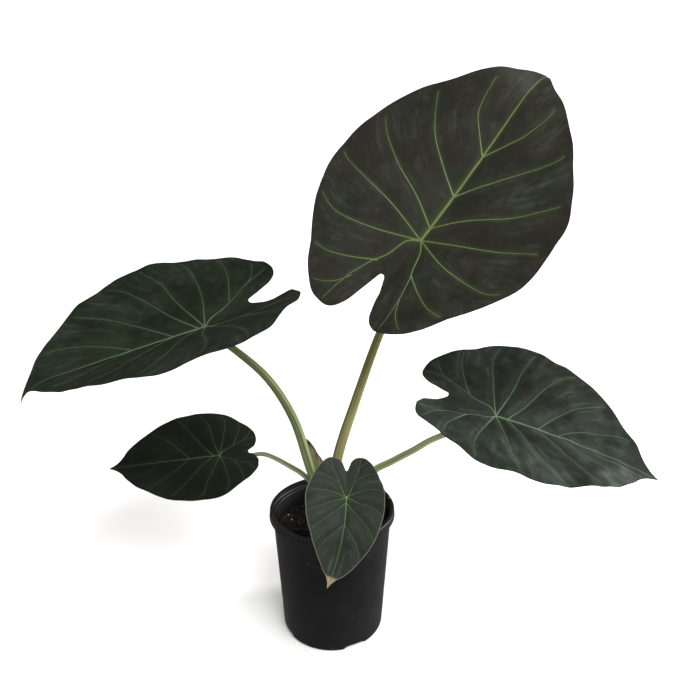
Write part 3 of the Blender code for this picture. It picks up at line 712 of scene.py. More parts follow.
def build_blade(name, leaf):
    """A blade as a thin shell on its bent midrib, with the ribs that stand on it."""
    edge = blade_edge(leaf)
    count = len(edge)
    shares = 1 - (1 - np.linspace(0, 1, BLADE_RINGS + 1)[1:]) ** EDGE_CROWDING
    flat = np.vstack([[[0.0, 0.0]], (edge[None] * shares[:, None, None]).reshape(-1, 2)])
    share = np.concatenate([[0.0], np.repeat(shares, count)])
    frames, plan = spine(leaf), vein_plan(leaf, edge)
    gap, along, glow = nearest_vein(flat, plan)
    points = raised(leaf, frames, flat, edge, gap)[0]

    first = np.arange(count)
    after = (first + 1) % count
    fan = np.column_stack([np.zeros(count, int), after + 1, first + 1])
    inner = (np.arange(BLADE_RINGS - 1) * count)[:, None]
    corners = [inner + first + 1, inner + after + 1, inner + after + 1 + count, inner + first + 1 + count]
    quads = np.stack(corners, axis=-1).reshape(-1, 4)
    data = bpy.data.meshes.new(name + "_blade")
    data.from_pydata(points, [], fan.tolist() + quads.tolist())
    to_edge = (1 - share) * np.linalg.norm(flat / np.maximum(share, 0.01)[:, None], axis=1)
    for title, values in (("from_vein", gap), ("along_vein", along), ("glow", glow),
                          ("from_edge", to_edge), ("reach", flat[:, 1] / leaf.length)):
        store(data, title, values)
    data.shade_smooth()
    data.materials.append(blade_finish(name, LEAF_TONES[name]))
    data.materials.append(underside_finish(name))
    sheet = mesh_object(name + "_blade", data)
    shell = sheet.modifiers.new("Thickness", "SOLIDIFY")
    shell.thickness = BLADE_THICKNESS
    shell.offset = -1
    shell.material_offset = 1
    shell.material_offset_rim = 0
    place(finished(sheet), "blade_" + name, "blade_" + name)
    build_ribs(name, leaf, frames, edge, plan)


# ---- geometry that follows a path ----------------------------------------------------
def geometry_tree(name, inputs):
    """A Geometry Nodes tree with named inputs, and its input and output nodes."""
    tree = bpy.data.node_groups.new(name, "GeometryNodeTree")
    tree.interface.new_socket("Geometry", in_out="INPUT", socket_type="NodeSocketGeometry")
    for title, kind, default in inputs:
        socket = tree.interface.new_socket(title, in_out="INPUT", socket_type=kind)
        if default is not None:
            socket.default_value = default
    tree.interface.new_socket("Geometry", in_out="OUTPUT", socket_type="NodeSocketGeometry")
    return tree, tree.nodes.new("NodeGroupInput"), tree.nodes.new("NodeGroupOutput")


def end_tree(tree, geometry, material, result):
    """The last steps of every tree: real geometry, shaded smooth, in its finish."""
    real = add_node(tree, "GeometryNodeRealizeInstances", {0: geometry})
    smooth = add_node(tree, "GeometryNodeSetShadeSmooth", {0: real.outputs[0]})
    dressed = add_node(tree, "GeometryNodeSetMaterial", {"Geometry": smooth.outputs[0],
                                                         "Material": material})
    tree.links.new(dressed.outputs[0], result.inputs[0])


def swept(tree, paths, profile):
    """A profile swept along every edge path, as large as the 'thickness' attribute says."""
    lines = add_node(tree, "GeometryNodeMeshToCurve", {0: paths})
    thickness = add_node(tree, "GeometryNodeInputNamedAttribute", {"Name": "thickness"}, data_type="FLOAT")
    tubes = add_node(tree, "GeometryNodeCurveToMesh", {"Curve": lines.outputs[0], "Profile Curve": profile,
                                                       "Scale": thickness.outputs[0], "Fill Caps": True})
    return tubes.outputs[0]


def ribs_tree():
    """Round tubes along every edge path, as thick as the 'thickness' attribute says."""
    tree, given, result = geometry_tree("ribs", (("Material", "NodeSocketMaterial", None),
                                                 ("Sides", "NodeSocketInt", 10)))
    ring = add_node(tree, "GeometryNodeCurvePrimitiveCircle", {"Resolution": given.outputs["Sides"],
                                                               "Radius": 1.0})
    tubes = swept(tree, given.outputs["Geometry"], ring.outputs[0])
    end_tree(tree, tubes, given.outputs["Material"], result)
    return tree


def set_input(modifier, title, value):
    """Sets a tree's named input on its modifier, by the socket's identifier."""
    for item in modifier.node_group.interface.items_tree:
        if item.item_type == "SOCKET" and item.in_out == "INPUT" and item.name == title:
            modifier[item.identifier] = value


def grown(name, data, tree, inputs):
    """The plain mesh that a tree makes of the given one."""
    made = mesh_object(name, data)
    grow = made.modifiers.new("Grow", "NODES")
    grow.node_group = tree
    for title, value in inputs.items():
        set_input(grow, title, value)
    return finished(made)


def follow_paths(name, paths, tree, material, sides):
    """Runs a path tree along (points, radii, away) paths and returns one plain mesh."""
    points = np.vstack([path[0] for path in paths])
    edges, start = [], 0
    for path in paths:
        edges += [(start + i, start + i + 1) for i in range(len(path[0]) - 1)]
        start += len(path[0])
    data = bpy.data.meshes.new(name)
    data.from_pydata(points, edges, [])
    store(data, "thickness", np.concatenate([path[1] for path in paths]))
    store(data, "away", np.concatenate([path[2] for path in paths]))
    return grown(name, data, tree, {"Material": material, "Sides": sides})


RIBS = ribs_tree()


def stalk_tree():
    """A tapering stalk with shallow grooves running up it, swept along a path."""
    tree, given, result = geometry_tree("stalk", (("Material", "NodeSocketMaterial", None),
                                                  ("Sides", "NodeSocketInt", 40),
                                                  ("Grooves", "NodeSocketInt", 9),
                                                  ("Groove Depth", "NodeSocketFloat", 0.035)))
    ring = add_node(tree, "GeometryNodeCurvePrimitiveCircle", {"Resolution": given.outputs["Sides"],
                                                               "Radius": 1.0})
    where = add_node(tree, "GeometryNodeInputPosition")
    parts = add_node(tree, "ShaderNodeSeparateXYZ", {0: where.outputs[0]})
    angle = maths(tree, "ARCTAN2", parts.outputs[1], parts.outputs[0])
    ripple = maths(tree, "COSINE", maths(tree, "MULTIPLY", angle, given.outputs["Grooves"]))
    size = maths(tree, "ADD", 1.0, maths(tree, "MULTIPLY", ripple, given.outputs["Groove Depth"]))
    scaled = add_node(tree, "ShaderNodeVectorMath", {0: where.outputs[0], "Scale": size},
                      operation="SCALE")
    grooved = add_node(tree, "GeometryNodeSetPosition", {"Geometry": ring.outputs[0],
                                                         "Position": scaled.outputs[0]})
    tubes = swept(tree, given.outputs["Geometry"], grooved.outputs[0])
    end_tree(tree, tubes, given.outputs["Material"], result)
    return tree


STALKS = stalk_tree()
STALK_STEPS = 90
STALK_SIDES = 40
BASE_SWELL = 1.28             # the sheathing foot of a stalk, over its bare radius
SWELL_HEIGHT = 0.028
STALK_ROOTED = 0.014          # how far a stalk reaches down into the crown
NECK_STEPS, NECK_REACH = 9, 0.06          # reach in blade lengths
StalkTone = namedtuple("StalkTone", "green pale blush")
STALK_TONES = {
    "tall": StalkTone(srgb(92, 91, 44), srgb(122, 120, 76), srgb(74, 60, 36)),
    "left": StalkTone(srgb(74, 84, 44), srgb(106, 114, 76), srgb(70, 70, 36)),
    "low_left": StalkTone(srgb(100, 110, 72), srgb(150, 156, 124), srgb(64, 60, 36)),
    "right": StalkTone(srgb(116, 128, 74), srgb(172, 176, 136), srgb(90, 90, 50)),
    "front": StalkTone(srgb(90, 112, 50), srgb(128, 140, 88), srgb(76, 74, 42)),
}


def stalk_finish(name, tone):
    """Long pale and green streaks, browner at the foot, with brown flecks."""
    material, tree, shader = new_material(name + "_stalk")
    laid = measure(tree, "laid", "Vector")
    squeezed = add_node(tree, "ShaderNodeMapping", {"Vector": laid, "Scale": (300.0, 300.0, 9.0)})
    streaks = fine_noise(tree, squeezed.outputs[0], 1.0, 3.0)
    colour = blend_colours(tree, ramp(tree, streaks, 0.36, 0.62), tone.green, tone.pale)
    colour = tinted(tree, colour, mottled(tree, object_place(tree), 30.0), 0.30, tone.green)
    colour = tinted(tree, colour, ramp(tree, measure(tree, "away"), 0.22, 0.0), 0.55, tone.blush)
    flecks = add_node(tree, "ShaderNodeMapping", {"Vector": laid, "Scale": (1.0, 1.0, 0.3)})
    colour = tinted(tree, colour, speckled(tree, flecks.outputs[0], 420.0, 0.3, 0.06), 0.35, tone.blush)
    dress(tree, shader, colour, maths(tree, "ADD", 0.36, maths(tree, "MULTIPLY", streaks, 0.22)), 0.3)
    relief(tree, shader, streaks, 0.0004, 0.5)
    return material


def stalk_line(leaf):
    """The stalk's centre line, from inside the crown to the underside of the blade's heart."""
    approach = np.array(leaf.junction) - np.array(leaf.stalk[-1])
    approach /= np.linalg.norm(approach)
    up = start_frame(leaf)[2]
    slant = math.sqrt(max(0.0, 1 - float(approach @ up) ** 2))
    end = np.array(leaf.junction) - up * (BLADE_THICKNESS + leaf.neck_radius * slant * 0.8)
    foot = np.array(leaf.stalk[0]) * (1, 1, 0)
    return smooth_line([foot + [0, 0, CROWN_HIGH.z - STALK_ROOTED], *leaf.stalk, end], STALK_STEPS)


def bare_radii(leaf, shares):
    """A stalk's radius at shares of its length, without the swollen foot."""
    return leaf.neck_radius + (leaf.base_radius - leaf.neck_radius) * (1 - shares) ** 0.8


def build_stalk(name, leaf):
    """A stalk, with a neck that runs on under the blade as the start of its midrib."""
    points = stalk_line(leaf)
    shares = np.linspace(0, 1, len(points))
    above = np.clip((points[:, 2] - CROWN_HIGH.z) / SWELL_HEIGHT, 0, 1)
    radii = bare_radii(leaf, shares) * (1 + (BASE_SWELL - 1) * (1 - above) ** 1.5)
    along = start_frame(leaf)[0]
    neck = np.linspace(0, 1, NECK_STEPS + 1)[1:, None] * along * leaf.length * NECK_REACH
    points = np.vstack([points, points[-1] + neck])
    radii = np.concatenate([radii, leaf.neck_radius * np.linspace(1, 0.25, NECK_STEPS)])
    shares = np.concatenate([shares, np.ones(NECK_STEPS)])
    stalk = follow_paths(name + "_stalk", [(points, radii, shares)], STALKS,
                         stalk_finish(name, STALK_TONES[name]), STALK_SIDES)
    travelled = np.concatenate([[0], np.cumsum(np.linalg.norm(np.diff(points, axis=0), axis=1))])
    turns = 2 * math.pi * np.arange(STALK_SIDES) / STALK_SIDES
    laid = [(leaf.base_radius * math.cos(angle), leaf.base_radius * math.sin(angle), height)
            for height in travelled for angle in turns]
    store(stalk.data, "laid", laid)
    place(stalk, "stalk", "stalk_" + name)


# ---- the dry sheath ------------------------------------------------------------------
SHEATH_LOW, SHEATH_HIGH = 0.1300, 0.2270
SHEATH_STANDOFF = 0.0013
SHEATH_FLARE = 0.0085
SHEATH_BACK, SHEATH_WRAP = 50.0, 65.0
SHEATH_ROWS, SHEATH_COLUMNS = 110, 44
PAPER_THICKNESS = 0.00045


def sheath_finish():
    """Green beside the stalk and papery brown towards its free edge, with a dark rim and tip."""
    material, tree, shader = new_material("dry_sheath")
    place_on = object_place(tree)
    squeezed = add_node(tree, "ShaderNodeMapping", {"Vector": place_on, "Scale": (900.0, 900.0, 18.0)})
    fibres = fine_noise(tree, squeezed.outputs[0], 1.0, 4.0)
    patches = mottled(tree, place_on, 70.0)
    from_edge = measure(tree, "from_edge")
    across = maths(tree, "SUBTRACT", 1.0, from_edge)
    dried = ramp(tree, maths(tree, "ADD", across, maths(tree, "MULTIPLY", patches, 0.15)), 0.30, 0.78)
    live = blend_colours(tree, fibres, srgb(88, 100, 44), srgb(140, 150, 88))
    dead = blend_colours(tree, ramp(tree, fibres, 0.34, 0.66), srgb(96, 76, 62), srgb(158, 134, 118))
    colour = blend_colours(tree, dried, live, dead)
    reach = maths(tree, "ADD", measure(tree, "reach"), maths(tree, "MULTIPLY", patches, 0.06))
    colour = blend_colours(tree, ramp(tree, reach, 0.88, 1.0), colour, srgb(52, 38, 28))
    colour = tinted(tree, colour, ramp(tree, from_edge, 0.07, 0.0), 0.85, srgb(56, 40, 32))
    dress(tree, shader, colour, 0.62)
    relief(tree, shader, fibres, 0.0006, 0.8)
    return material


def build_sheath():
    """A papery strip curled round the inner side of the left stalk, torn along its free edge."""
    leaf = LEAVES["left"]
    line = stalk_line(leaf)
    points, reach, from_edge = [], [], []
    for share in np.linspace(0, 1, SHEATH_ROWS + 1):
        height = SHEATH_LOW + (SHEATH_HIGH - SHEATH_LOW) * share
        centre = [np.interp(height, line[:, 2], line[:, axis]) for axis in (0, 1)]
        radius = leaf.base_radius + SHEATH_STANDOFF
        narrowing = math.sqrt(1.02 - share ** 3)
        flare = SHEATH_FLARE * math.sin(math.pi * share ** 1.9)
        torn = 0.05 * noise.noise(Vector((0, 0, share * 14)))
        torn += 0.025 * noise.noise(Vector((3, 0, share * 60)))
        for across in np.linspace(0, 1, SHEATH_COLUMNS + 1):
            angle = math.radians(SHEATH_BACK - SHEATH_WRAP * across * narrowing * (1 + torn * across ** 4))
            ripple = 0.0004 * math.sin(across * 21 + share * 5) * math.sin(math.pi * share)
            curl = 0.0016 * across ** 6 * math.sin(share * 26 + 1) * math.sin(math.pi * share)
            spread = radius + flare * across ** 1.5 * (1 + torn) + ripple + curl
            points.append((centre[0] + spread * math.cos(angle), centre[1] + spread * math.sin(angle),
                           height))
            reach.append(share)
            from_edge.append(1 - across)
    wide = SHEATH_COLUMNS + 1
    corner = (np.arange(SHEATH_ROWS)[:, None] * wide + np.arange(SHEATH_COLUMNS)).ravel()
    faces = np.column_stack([corner, corner + wide, corner + wide + 1, corner + 1])
    data = bpy.data.meshes.new("dry_sheath_paper")
    data.from_pydata(points, [], faces.tolist())
    store(data, "reach", reach)
    store(data, "from_edge", from_edge)
    data.shade_smooth()
    data.materials.append(sheath_finish())
    paper = mesh_object("dry_sheath_paper", data)
    shell = paper.modifiers.new("Thickness", "SOLIDIFY")
    shell.thickness = PAPER_THICKNESS
    shell.offset = 0
    place(finished(paper), "dry_sheath", "dry_sheath")


# ---- the pot -------------------------------------------------------------------------
def pot_finish():
    """Satin black plastic, faintly warm, with pale scuffs and dust."""
    material, tree, shader = new_material("pot_plastic")
    place_on = object_place(tree)
    cloudy = mottled(tree, place_on, 14.0)
    colour = blend_colours(tree, cloudy, srgb(9, 9, 11), srgb(17, 16, 18))
    rings = add_node(tree, "ShaderNodeMapping", {"Vector": place_on, "Scale": (9.0, 9.0, 260.0)})
    scuffs = fine_noise(tree, rings.outputs[0], 1.0, 4.0)
    rubbed = maths(tree, "MULTIPLY", ramp(tree, scuffs, 0.60, 0.80), cloudy)
    colour = tinted(tree, colour, rubbed, 0.30, srgb(74, 70, 68))
    colour = tinted(tree, colour, speckled(tree, place_on, 170.0, 0.13, 0.05), 0.5, srgb(130, 124, 118))
    rough = maths(tree, "ADD", 0.40, maths(tree, "MULTIPLY", cloudy, 0.10))
    rough = maths(tree, "ADD", rough, maths(tree, "MULTIPLY", rubbed, 0.2))
    dress(tree, shader, colour, rough, 0.35)
    relief(tree, shader, fine_noise(tree, place_on, 1500.0), 0.0002, 0.35)
    return material


def arc(centre, radius, start, end, steps):
    """Points along an arc, from one angle in degrees to another."""
    for index in range(steps + 1):
        angle = math.radians(start + (end - start) * index / steps)
        yield centre[0] + radius * math.cos(angle), centre[1] + radius * math.sin(angle)


def wall_radius(height):
    """Outside radius of the plain wall."""
    return FOOT_RADIUS + (WALL_TOP_RADIUS - FOOT_RADIUS) * height / (POT_HEIGHT - RIM_BAND)


def turned(name, profile, segments):
    """A closed solid of revolution from an outer-side, top-to-bottom profile of (radius, height)."""
    data = bpy.data.meshes.new(name)
    points = [(radius, 0.0, height) for radius, height in profile]
    data.from_pydata(points, [(i, i + 1) for i in range(len(points) - 1)], [])
    made = mesh_object(name, data)
    spin = made.modifiers.new("Turn", "SCREW")
    spin.steps = spin.render_steps = segments
    spin.use_merge_vertices = True
    spin.merge_threshold = 0.00001
    return finished(made)


def pot_profile():
    """Half section of the pot, down the outside and back up the inside."""
    band_low = POT_HEIGHT - RIM_BAND
    under_band = wall_radius(band_low)
    yield RIM_RADIUS - LIP_WIDTH, POT_HEIGHT - 0.0006
    yield RIM_RADIUS - 0.0026, POT_HEIGHT
    yield from arc((RIM_RADIUS - 0.0006 - LIP_ROUNDING, POT_HEIGHT - LIP_ROUNDING), LIP_ROUNDING, 90, 4, 6)
    yield from arc((RIM_RADIUS - 0.0008, band_low + 0.0008), 0.0008, 0, -90, 4)
    yield from arc((under_band + 0.0009, band_low - 0.0009), 0.0009, 90, 180, 4)
    for share in (0.75, 0.5, 0.25):
        yield wall_radius(band_low * share), band_low * share
    centre = (wall_radius(FOOT_ROUNDING) - FOOT_ROUNDING, FOOT_ROUNDING)
    yield from arc(centre, FOOT_ROUNDING, 0, -90, 6)
    yield FOOT_RADIUS * 0.80, 0.0
    yield FOOT_RADIUS * 0.77, BASE_RECESS
    yield 0.0, BASE_RECESS
    yield 0.0, BASE_RECESS + POT_FLOOR
    yield FOOT_RADIUS - POT_WALL - 0.003, BASE_RECESS + POT_FLOOR
    yield wall_radius(0.006) - POT_WALL, 0.006
    yield wall_radius(band_low * 0.5) - POT_WALL, band_low * 0.5
    yield under_band - POT_WALL, band_low - 0.0006
    yield from arc((under_band - POT_WALL + 0.0012, band_low - 0.0006), 0.0012, 180, 90, 4)
    yield RIM_RADIUS - POT_WALL - 0.0012, band_low + 0.0006
    yield RIM_RADIUS - POT_WALL - 0.0004, band_low + 0.0016
    yield RIM_RADIUS - POT_WALL - 0.0002, POT_HEIGHT - 0.0016
    yield RIM_RADIUS - LIP_WIDTH, POT_HEIGHT - 0.0006


def notch_cutter(index):
    """An arch-ended bar with rounded corners, laid low through the foot from outside."""
    angle = math.radians(FIRST_NOTCH_ANGLE + 360 / NOTCHES * index)
    radial = Vector((math.cos(angle), math.sin(angle), 0))
    sideways = Vector((-math.sin(angle), math.cos(angle), 0))
    outline = [(-1.0, -1.0), (1.0, -1.0)]
    for step in range(2 * NOTCH_STEPS + 1):
        across = 1 - step / NOTCH_STEPS
        outline.append((across, (1 - abs(across) ** NOTCH_SQUARENESS) ** 0.5))
    mesh = bmesh.new()
    rings = []
    for reach in (FOOT_RADIUS - NOTCH_DEPTH, FOOT_RADIUS + 0.01):
        rings.append([mesh.verts.new(radial * reach + sideways * across * NOTCH_WIDTH / 2
                                     + Vector((0, 0, height * NOTCH_HEIGHT)))
                      for across, height in outline])
    for ring in rings:
        mesh.faces.new(ring)
    for low, high, low_next, high_next in zip(*rings, *(ring[1:] + ring[:1] for ring in rings)):
        mesh.faces.new((low, high, high_next, low_next))
    bmesh.ops.recalc_face_normals(mesh, faces=mesh.faces)
    data = bpy.data.meshes.new("notch_cutter")
    mesh.to_mesh(data)
    mesh.free()
    return mesh_object("notch_cutter", data)


def build_pot():
    """The turned pot, with its drainage notches cut through the foot."""
    pot = turned("pot_shell", list(pot_profile()), POT_SEGMENTS)
    for index in range(NOTCHES):
        cutter = notch_cutter(index)
        cut = pot.modifiers.new("Cut", "BOOLEAN")
        cut.object = cutter
        pot = finished(pot)
        bpy.data.objects.remove(cutter, do_unlink=True)
    pot.data.materials.append(pot_finish())
    pot.data.shade_smooth()
    pot.data.set_sharp_from_angle(angle=math.radians(32))
    place(pot, "pot", "pot")


# ---- the crown and the potting mix ---------------------------------------------------
def crown_finish():
    """Brown and lumpy, flecked with dark old skin."""
    material, tree, shader = new_material("root_crown")
    place_on = object_place(tree)
    lumps = mottled(tree, place_on, 90.0)
    colour = blend_colours(tree, lumps, srgb(52, 40, 27), srgb(98, 84, 56))
    colour = tinted(tree, colour, speckled(tree, place_on, 330.0, 0.4, 0.3), 0.5, srgb(34, 26, 20))
    dress(tree, shader, colour, 0.8)
    relief(tree, shader, lumps, 0.0012, 0.6)
    return material


def build_crown():
    """The short stem: a ringed, lumpy barrel between the mix and the stalks."""
    radius = CROWN_HIGH.x
    height = CROWN_HIGH.z - CROWN_LOW.z
    profile = []
    for index in range(CROWN_RINGS):
        angle = math.pi / 2 * (1 - 2 * index / CROWN_RINGS)
        belly = max(math.cos(angle), 0.0) ** 0.55
        profile.append((radius * belly * (1 + 0.03 * math.sin(index * 1.3)),
                        CROWN_LOW.z + height * (0.5 + 0.5 * math.sin(angle))))
    profile[0] = (0.0, CROWN_HIGH.z)
    profile.append((0.0, CROWN_LOW.z))
    crown = turned("root_crown_skin", profile, CROWN_SEGMENTS)
    for vertex in crown.data.vertices:
        lump = noise.noise(vertex.co * 160) * 0.0012 + noise.noise(vertex.co * 60) * 0.0010
        vertex.co += Vector((vertex.co.x, vertex.co.y, 0)).normalized() * lump
    crown.data.materials.append(crown_finish())
    crown.data.shade_smooth()
    place(crown, "root_crown", "root_crown")


def mix_finish():
    """Nearly black and damp, with brown crumbs and a few pale specks."""
    material, tree, shader = new_material("potting_mix")
    place_on = object_place(tree)
    colour = blend_colours(tree, mottled(tree, place_on, 120.0), srgb(12, 10, 10), srgb(30, 25, 23))
    colour = tinted(tree, colour, speckled(tree, place_on, 620.0, 0.4, 0.25), 0.5, srgb(48, 38, 32))
    colour = tinted(tree, colour, speckled(tree, place_on, 430.0, 0.2, 0.04), 0.6, srgb(150, 144, 132))
    dress(tree, shader, colour, 0.9, 0.25)
    lumps = add_node(tree, "ShaderNodeTexNoise", {"Vector": place_on, "Scale": 500.0, "Detail": 6.0,
                                                  "Roughness": 0.7})
    relief(tree, shader, lumps.outputs[0], 0.002, 0.8)
    return material


def mix_height(x, y):
    """Height of the lumpy surface."""
    spot = Vector((x, y, 0))
    broad = noise.noise(spot * 60) * 0.0013
    fine = noise.noise(spot * 260 + Vector((7, 0, 0))) * 0.0007
    crumbs = noise.noise(spot * 700 + Vector((0, 9, 0))) * 0.0004
    return MIX_LEVEL + broad + fine + crumbs - 0.0006


def build_mix():
    """The lumpy top, carried down the pot's inside to a flat underside."""
    points = [(0.0, 0.0, mix_height(0, 0))]
    for ring in range(1, MIX_RINGS + 1):
        points += [(x, y, mix_height(x, y)) for x, y in circle(MIX_RADIUS * ring / MIX_RINGS, MIX_SPOKES)]
    for height in MIX_WALL_HEIGHTS:
        radius = wall_radius(height) - POT_WALL - 0.0006
        points += [(x, y, height) for x, y in circle(radius, MIX_SPOKES)]
    last = len(points) - MIX_SPOKES
    points.append((0.0, 0.0, MIX_WALL_HEIGHTS[-1]))
    bottom = len(points) - 1
    faces = ring_faces(1, MIX_RINGS + len(MIX_WALL_HEIGHTS), MIX_SPOKES)
    for index in range(MIX_SPOKES):
        after = (index + 1) % MIX_SPOKES
        faces.append((0, 1 + index, 1 + after))
        faces.append((last + index, bottom, last + after))
    data = bpy.data.meshes.new("potting_mix_top")
    data.from_pydata(points, [], faces)
    data.shade_smooth()
    data.materials.append(mix_finish())
    place(mesh_object("potting_mix_top", data), "potting_mix", "potting_mix")


# ---- bark, perlite and crumbs ---------------------------------------------------------
def bit_finish(name, dark, light, roughness):
    """A pitted, two-toned finish for the loose bits."""
    material, tree, shader = new_material(name)
    place_on = object_place(tree)
    colour = blend_colours(tree, mottled(tree, place_on, 170.0), dark, light)
    colour = tinted(tree, colour, speckled(tree, place_on, 1300.0, 0.4, 0.3), 0.5, dark)
    dress(tree, shader, colour, roughness, 0.3)
    relief(tree, shader, fine_noise(tree, place_on, 1400.0, 4.0), 0.0006, 0.7)
    return material


def chunk(name, low, high, facets, seed, material):
    """A lump of flat facets with worn edges, filling the box from low to high."""
    draw = random.Random(seed)
    planes = []
    for _ in range(facets):
        face = Vector((draw.gauss(0, 1), draw.gauss(0, 1), draw.gauss(0, 1))).normalized()
        planes.append((face, draw.uniform(0.62, 0.9)))
    mesh = bmesh.new()
    bmesh.ops.create_icosphere(mesh, subdivisions=4, radius=1.0)
    for vertex in mesh.verts:
        way = vertex.co.normalized()
        reach = min([1.0] + [depth / max(way.dot(face), 0.05) for face, depth in planes])
        vertex.co = way * (reach + 0.05 * noise.noise(way * 4 + Vector((seed, 0, 0))))
    corners = np.array([vertex.co for vertex in mesh.verts])
    least, most = corners.min(axis=0), corners.max(axis=0)
    low, high = np.array(low), np.array(high)
    for vertex in mesh.verts:
        vertex.co = low + (np.array(vertex.co) - least) / (most - least) * (high - low)
    data = bpy.data.meshes.new(name)
    mesh.to_mesh(data)
    mesh.free()
    data.shade_smooth()
    data.set_sharp_from_angle(angle=math.radians(40))
    data.materials.append(material)
    return mesh_object(name, data)


def crumbs_tree():
    """Lumps scattered over a surface: how many, how large along each side, and how rough."""
    tree, given, result = geometry_tree("crumbs", (("Material", "NodeSocketMaterial", None),
                                                   ("Density", "NodeSocketFloat", 30000.0),
                                                   ("Seed", "NodeSocketInt", 1),
                                                   ("Size", "NodeSocketVector", (0.002, 0.002, 0.002)),
                                                   ("Roughness", "NodeSocketFloat", 0.5)))
    seed, size = given.outputs["Seed"], given.outputs["Size"]
    spots = add_node(tree, "GeometryNodeDistributePointsOnFaces", {"Mesh": given.outputs["Geometry"],
                                                                   "Density": given.outputs["Density"],
                                                                   "Seed": seed})
    block = add_node(tree, "GeometryNodeMeshCube", {"Vertices X": 3, "Vertices Y": 3, "Vertices Z": 3})
    spin = add_node(tree, "FunctionNodeRandomValue", {0: (-0.5, -0.5, 0.0), 1: (0.5, 0.5, 2 * math.pi),
                                                      "Seed": seed}, data_type="FLOAT_VECTOR")
    swell = add_node(tree, "FunctionNodeRandomValue", {0: (0.5, 0.5, 0.5), 1: (1.5, 1.5, 1.4),
                                                       "Seed": seed}, data_type="FLOAT_VECTOR")
    sizes = add_node(tree, "ShaderNodeVectorMath", {0: swell.outputs[0], 1: size}, operation="MULTIPLY")
    lumps = add_node(tree, "GeometryNodeInstanceOnPoints", {"Points": spots.outputs[0],
                                                            "Instance": block.outputs[0],
                                                            "Rotation": spin.outputs[0],
                                                            "Scale": sizes.outputs[0]})
    real = add_node(tree, "GeometryNodeRealizeInstances", {0: lumps.outputs[0]})
    jitter = add_node(tree, "ShaderNodeTexNoise", {"Scale": 650.0, "Detail": 1.0})
    centred = add_node(tree, "ShaderNodeVectorMath", {0: jitter.outputs["Color"], 1: (0.5, 0.5, 0.5)},
                       operation="SUBTRACT")
    strength = add_node(tree, "ShaderNodeVectorMath", {0: size}, operation="LENGTH")
    amount = maths(tree, "MULTIPLY", strength.outputs["Value"], given.outputs["Roughness"])
    push = add_node(tree, "ShaderNodeVectorMath", {0: centred.outputs[0], "Scale": amount},
                    operation="SCALE")
    worn = add_node(tree, "GeometryNodeSetPosition", {"Geometry": real.outputs[0],
                                                      "Offset": push.outputs[0]})
    end_tree(tree, worn.outputs[0], given.outputs["Material"], result)
    return tree


def scatter(name, tree, slot_name, inputs):
    """Crumbs over the open ring of mix between the crown and the pot."""
    points = []
    for radius in np.linspace(CROWN_HIGH.x + 0.002, MIX_RADIUS - 0.003, SCATTER_RINGS):
        points += [(x, y, mix_height(x, y) + 0.0002) for x, y in circle(radius, SCATTER_SPOKES)]
    data = bpy.data.meshes.new(name)
    data.from_pydata(points, [], ring_faces(0, SCATTER_RINGS, SCATTER_SPOKES))
    place(grown(name, data, tree, inputs), slot_name)


def build_bits():
    """The loose bark and white granules: the CAD nodes' own, two on the rim, and crumbs all over."""
    bark = bit_finish("bark_brown", srgb(17, 14, 13), srgb(44, 35, 31), 0.75)
    perlite = bit_finish("perlite_white", srgb(112, 106, 100), srgb(172, 166, 158), 0.85)
    fibre = bit_finish("fibre_brown", srgb(30, 24, 20), srgb(66, 53, 44), 0.8)
    for index in range(1, BARK_CHIPS + 1):
        node = "bark_chip_%d" % index
        low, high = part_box(node)
        place(chunk("chip_%d" % index, low, high, 9, index, bark), "bark", node)
    for index in range(1, PERLITE_GRAINS + 1):
        node = "perlite_%d" % index
        low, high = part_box(node)
        place(chunk("grain_%d" % index, low, high, 14, 40 + index, perlite), "perlite", node)
    for index, (x, y, size) in enumerate(RIM_GRAINS):
        middle = Vector((x, y, POT_HEIGHT + size * 0.2 - 0.0002))
        spread = Vector((size, size * 0.8, size * 0.4)) / 2
        grain = chunk("rim_grain_%d" % (index + 1), middle - spread, middle + spread, 12, 60 + index,
                      perlite)
        place(grain, "perlite")
    crumbs = crumbs_tree()
    for name, material, density, seed, size, roughness, slot_name in (
            ("bark_crumbs", bark, 42000.0, 4, (0.0030, 0.0021, 0.0013), 0.5, "bark"),
            ("bark_pieces", bark, 5200.0, 9, (0.0075, 0.0042, 0.0022), 0.35, "bark"),
            ("fibres", fibre, 5200.0, 6, (0.0095, 0.0005, 0.0005), 0.12, "bark"),
            ("perlite_grains", perlite, 1400.0, 11, (0.0018, 0.0017, 0.0013), 0.45, "perlite")):
        scatter(name, crumbs, slot_name, {"Material": material, "Density": density, "Seed": seed,
                                          "Size": size, "Roughness": roughness})


# ---- the dark ridge up the tall stalk's left side --------------------------------------
MARGIN_LOW, MARGIN_HIGH = 0.150, 0.280
MARGIN_SIDE = np.array([-1.0, -0.35, 0.0])


def margin_finish():
    """Dark brown, in patches."""
    material, tree, shader = new_material("stalk_margin")
    patches = mottled(tree, object_place(tree), 110.0)
    dress(tree, shader, blend_colours(tree, patches, srgb(46, 34, 24), srgb(84, 66, 42)), 0.6)
    return material


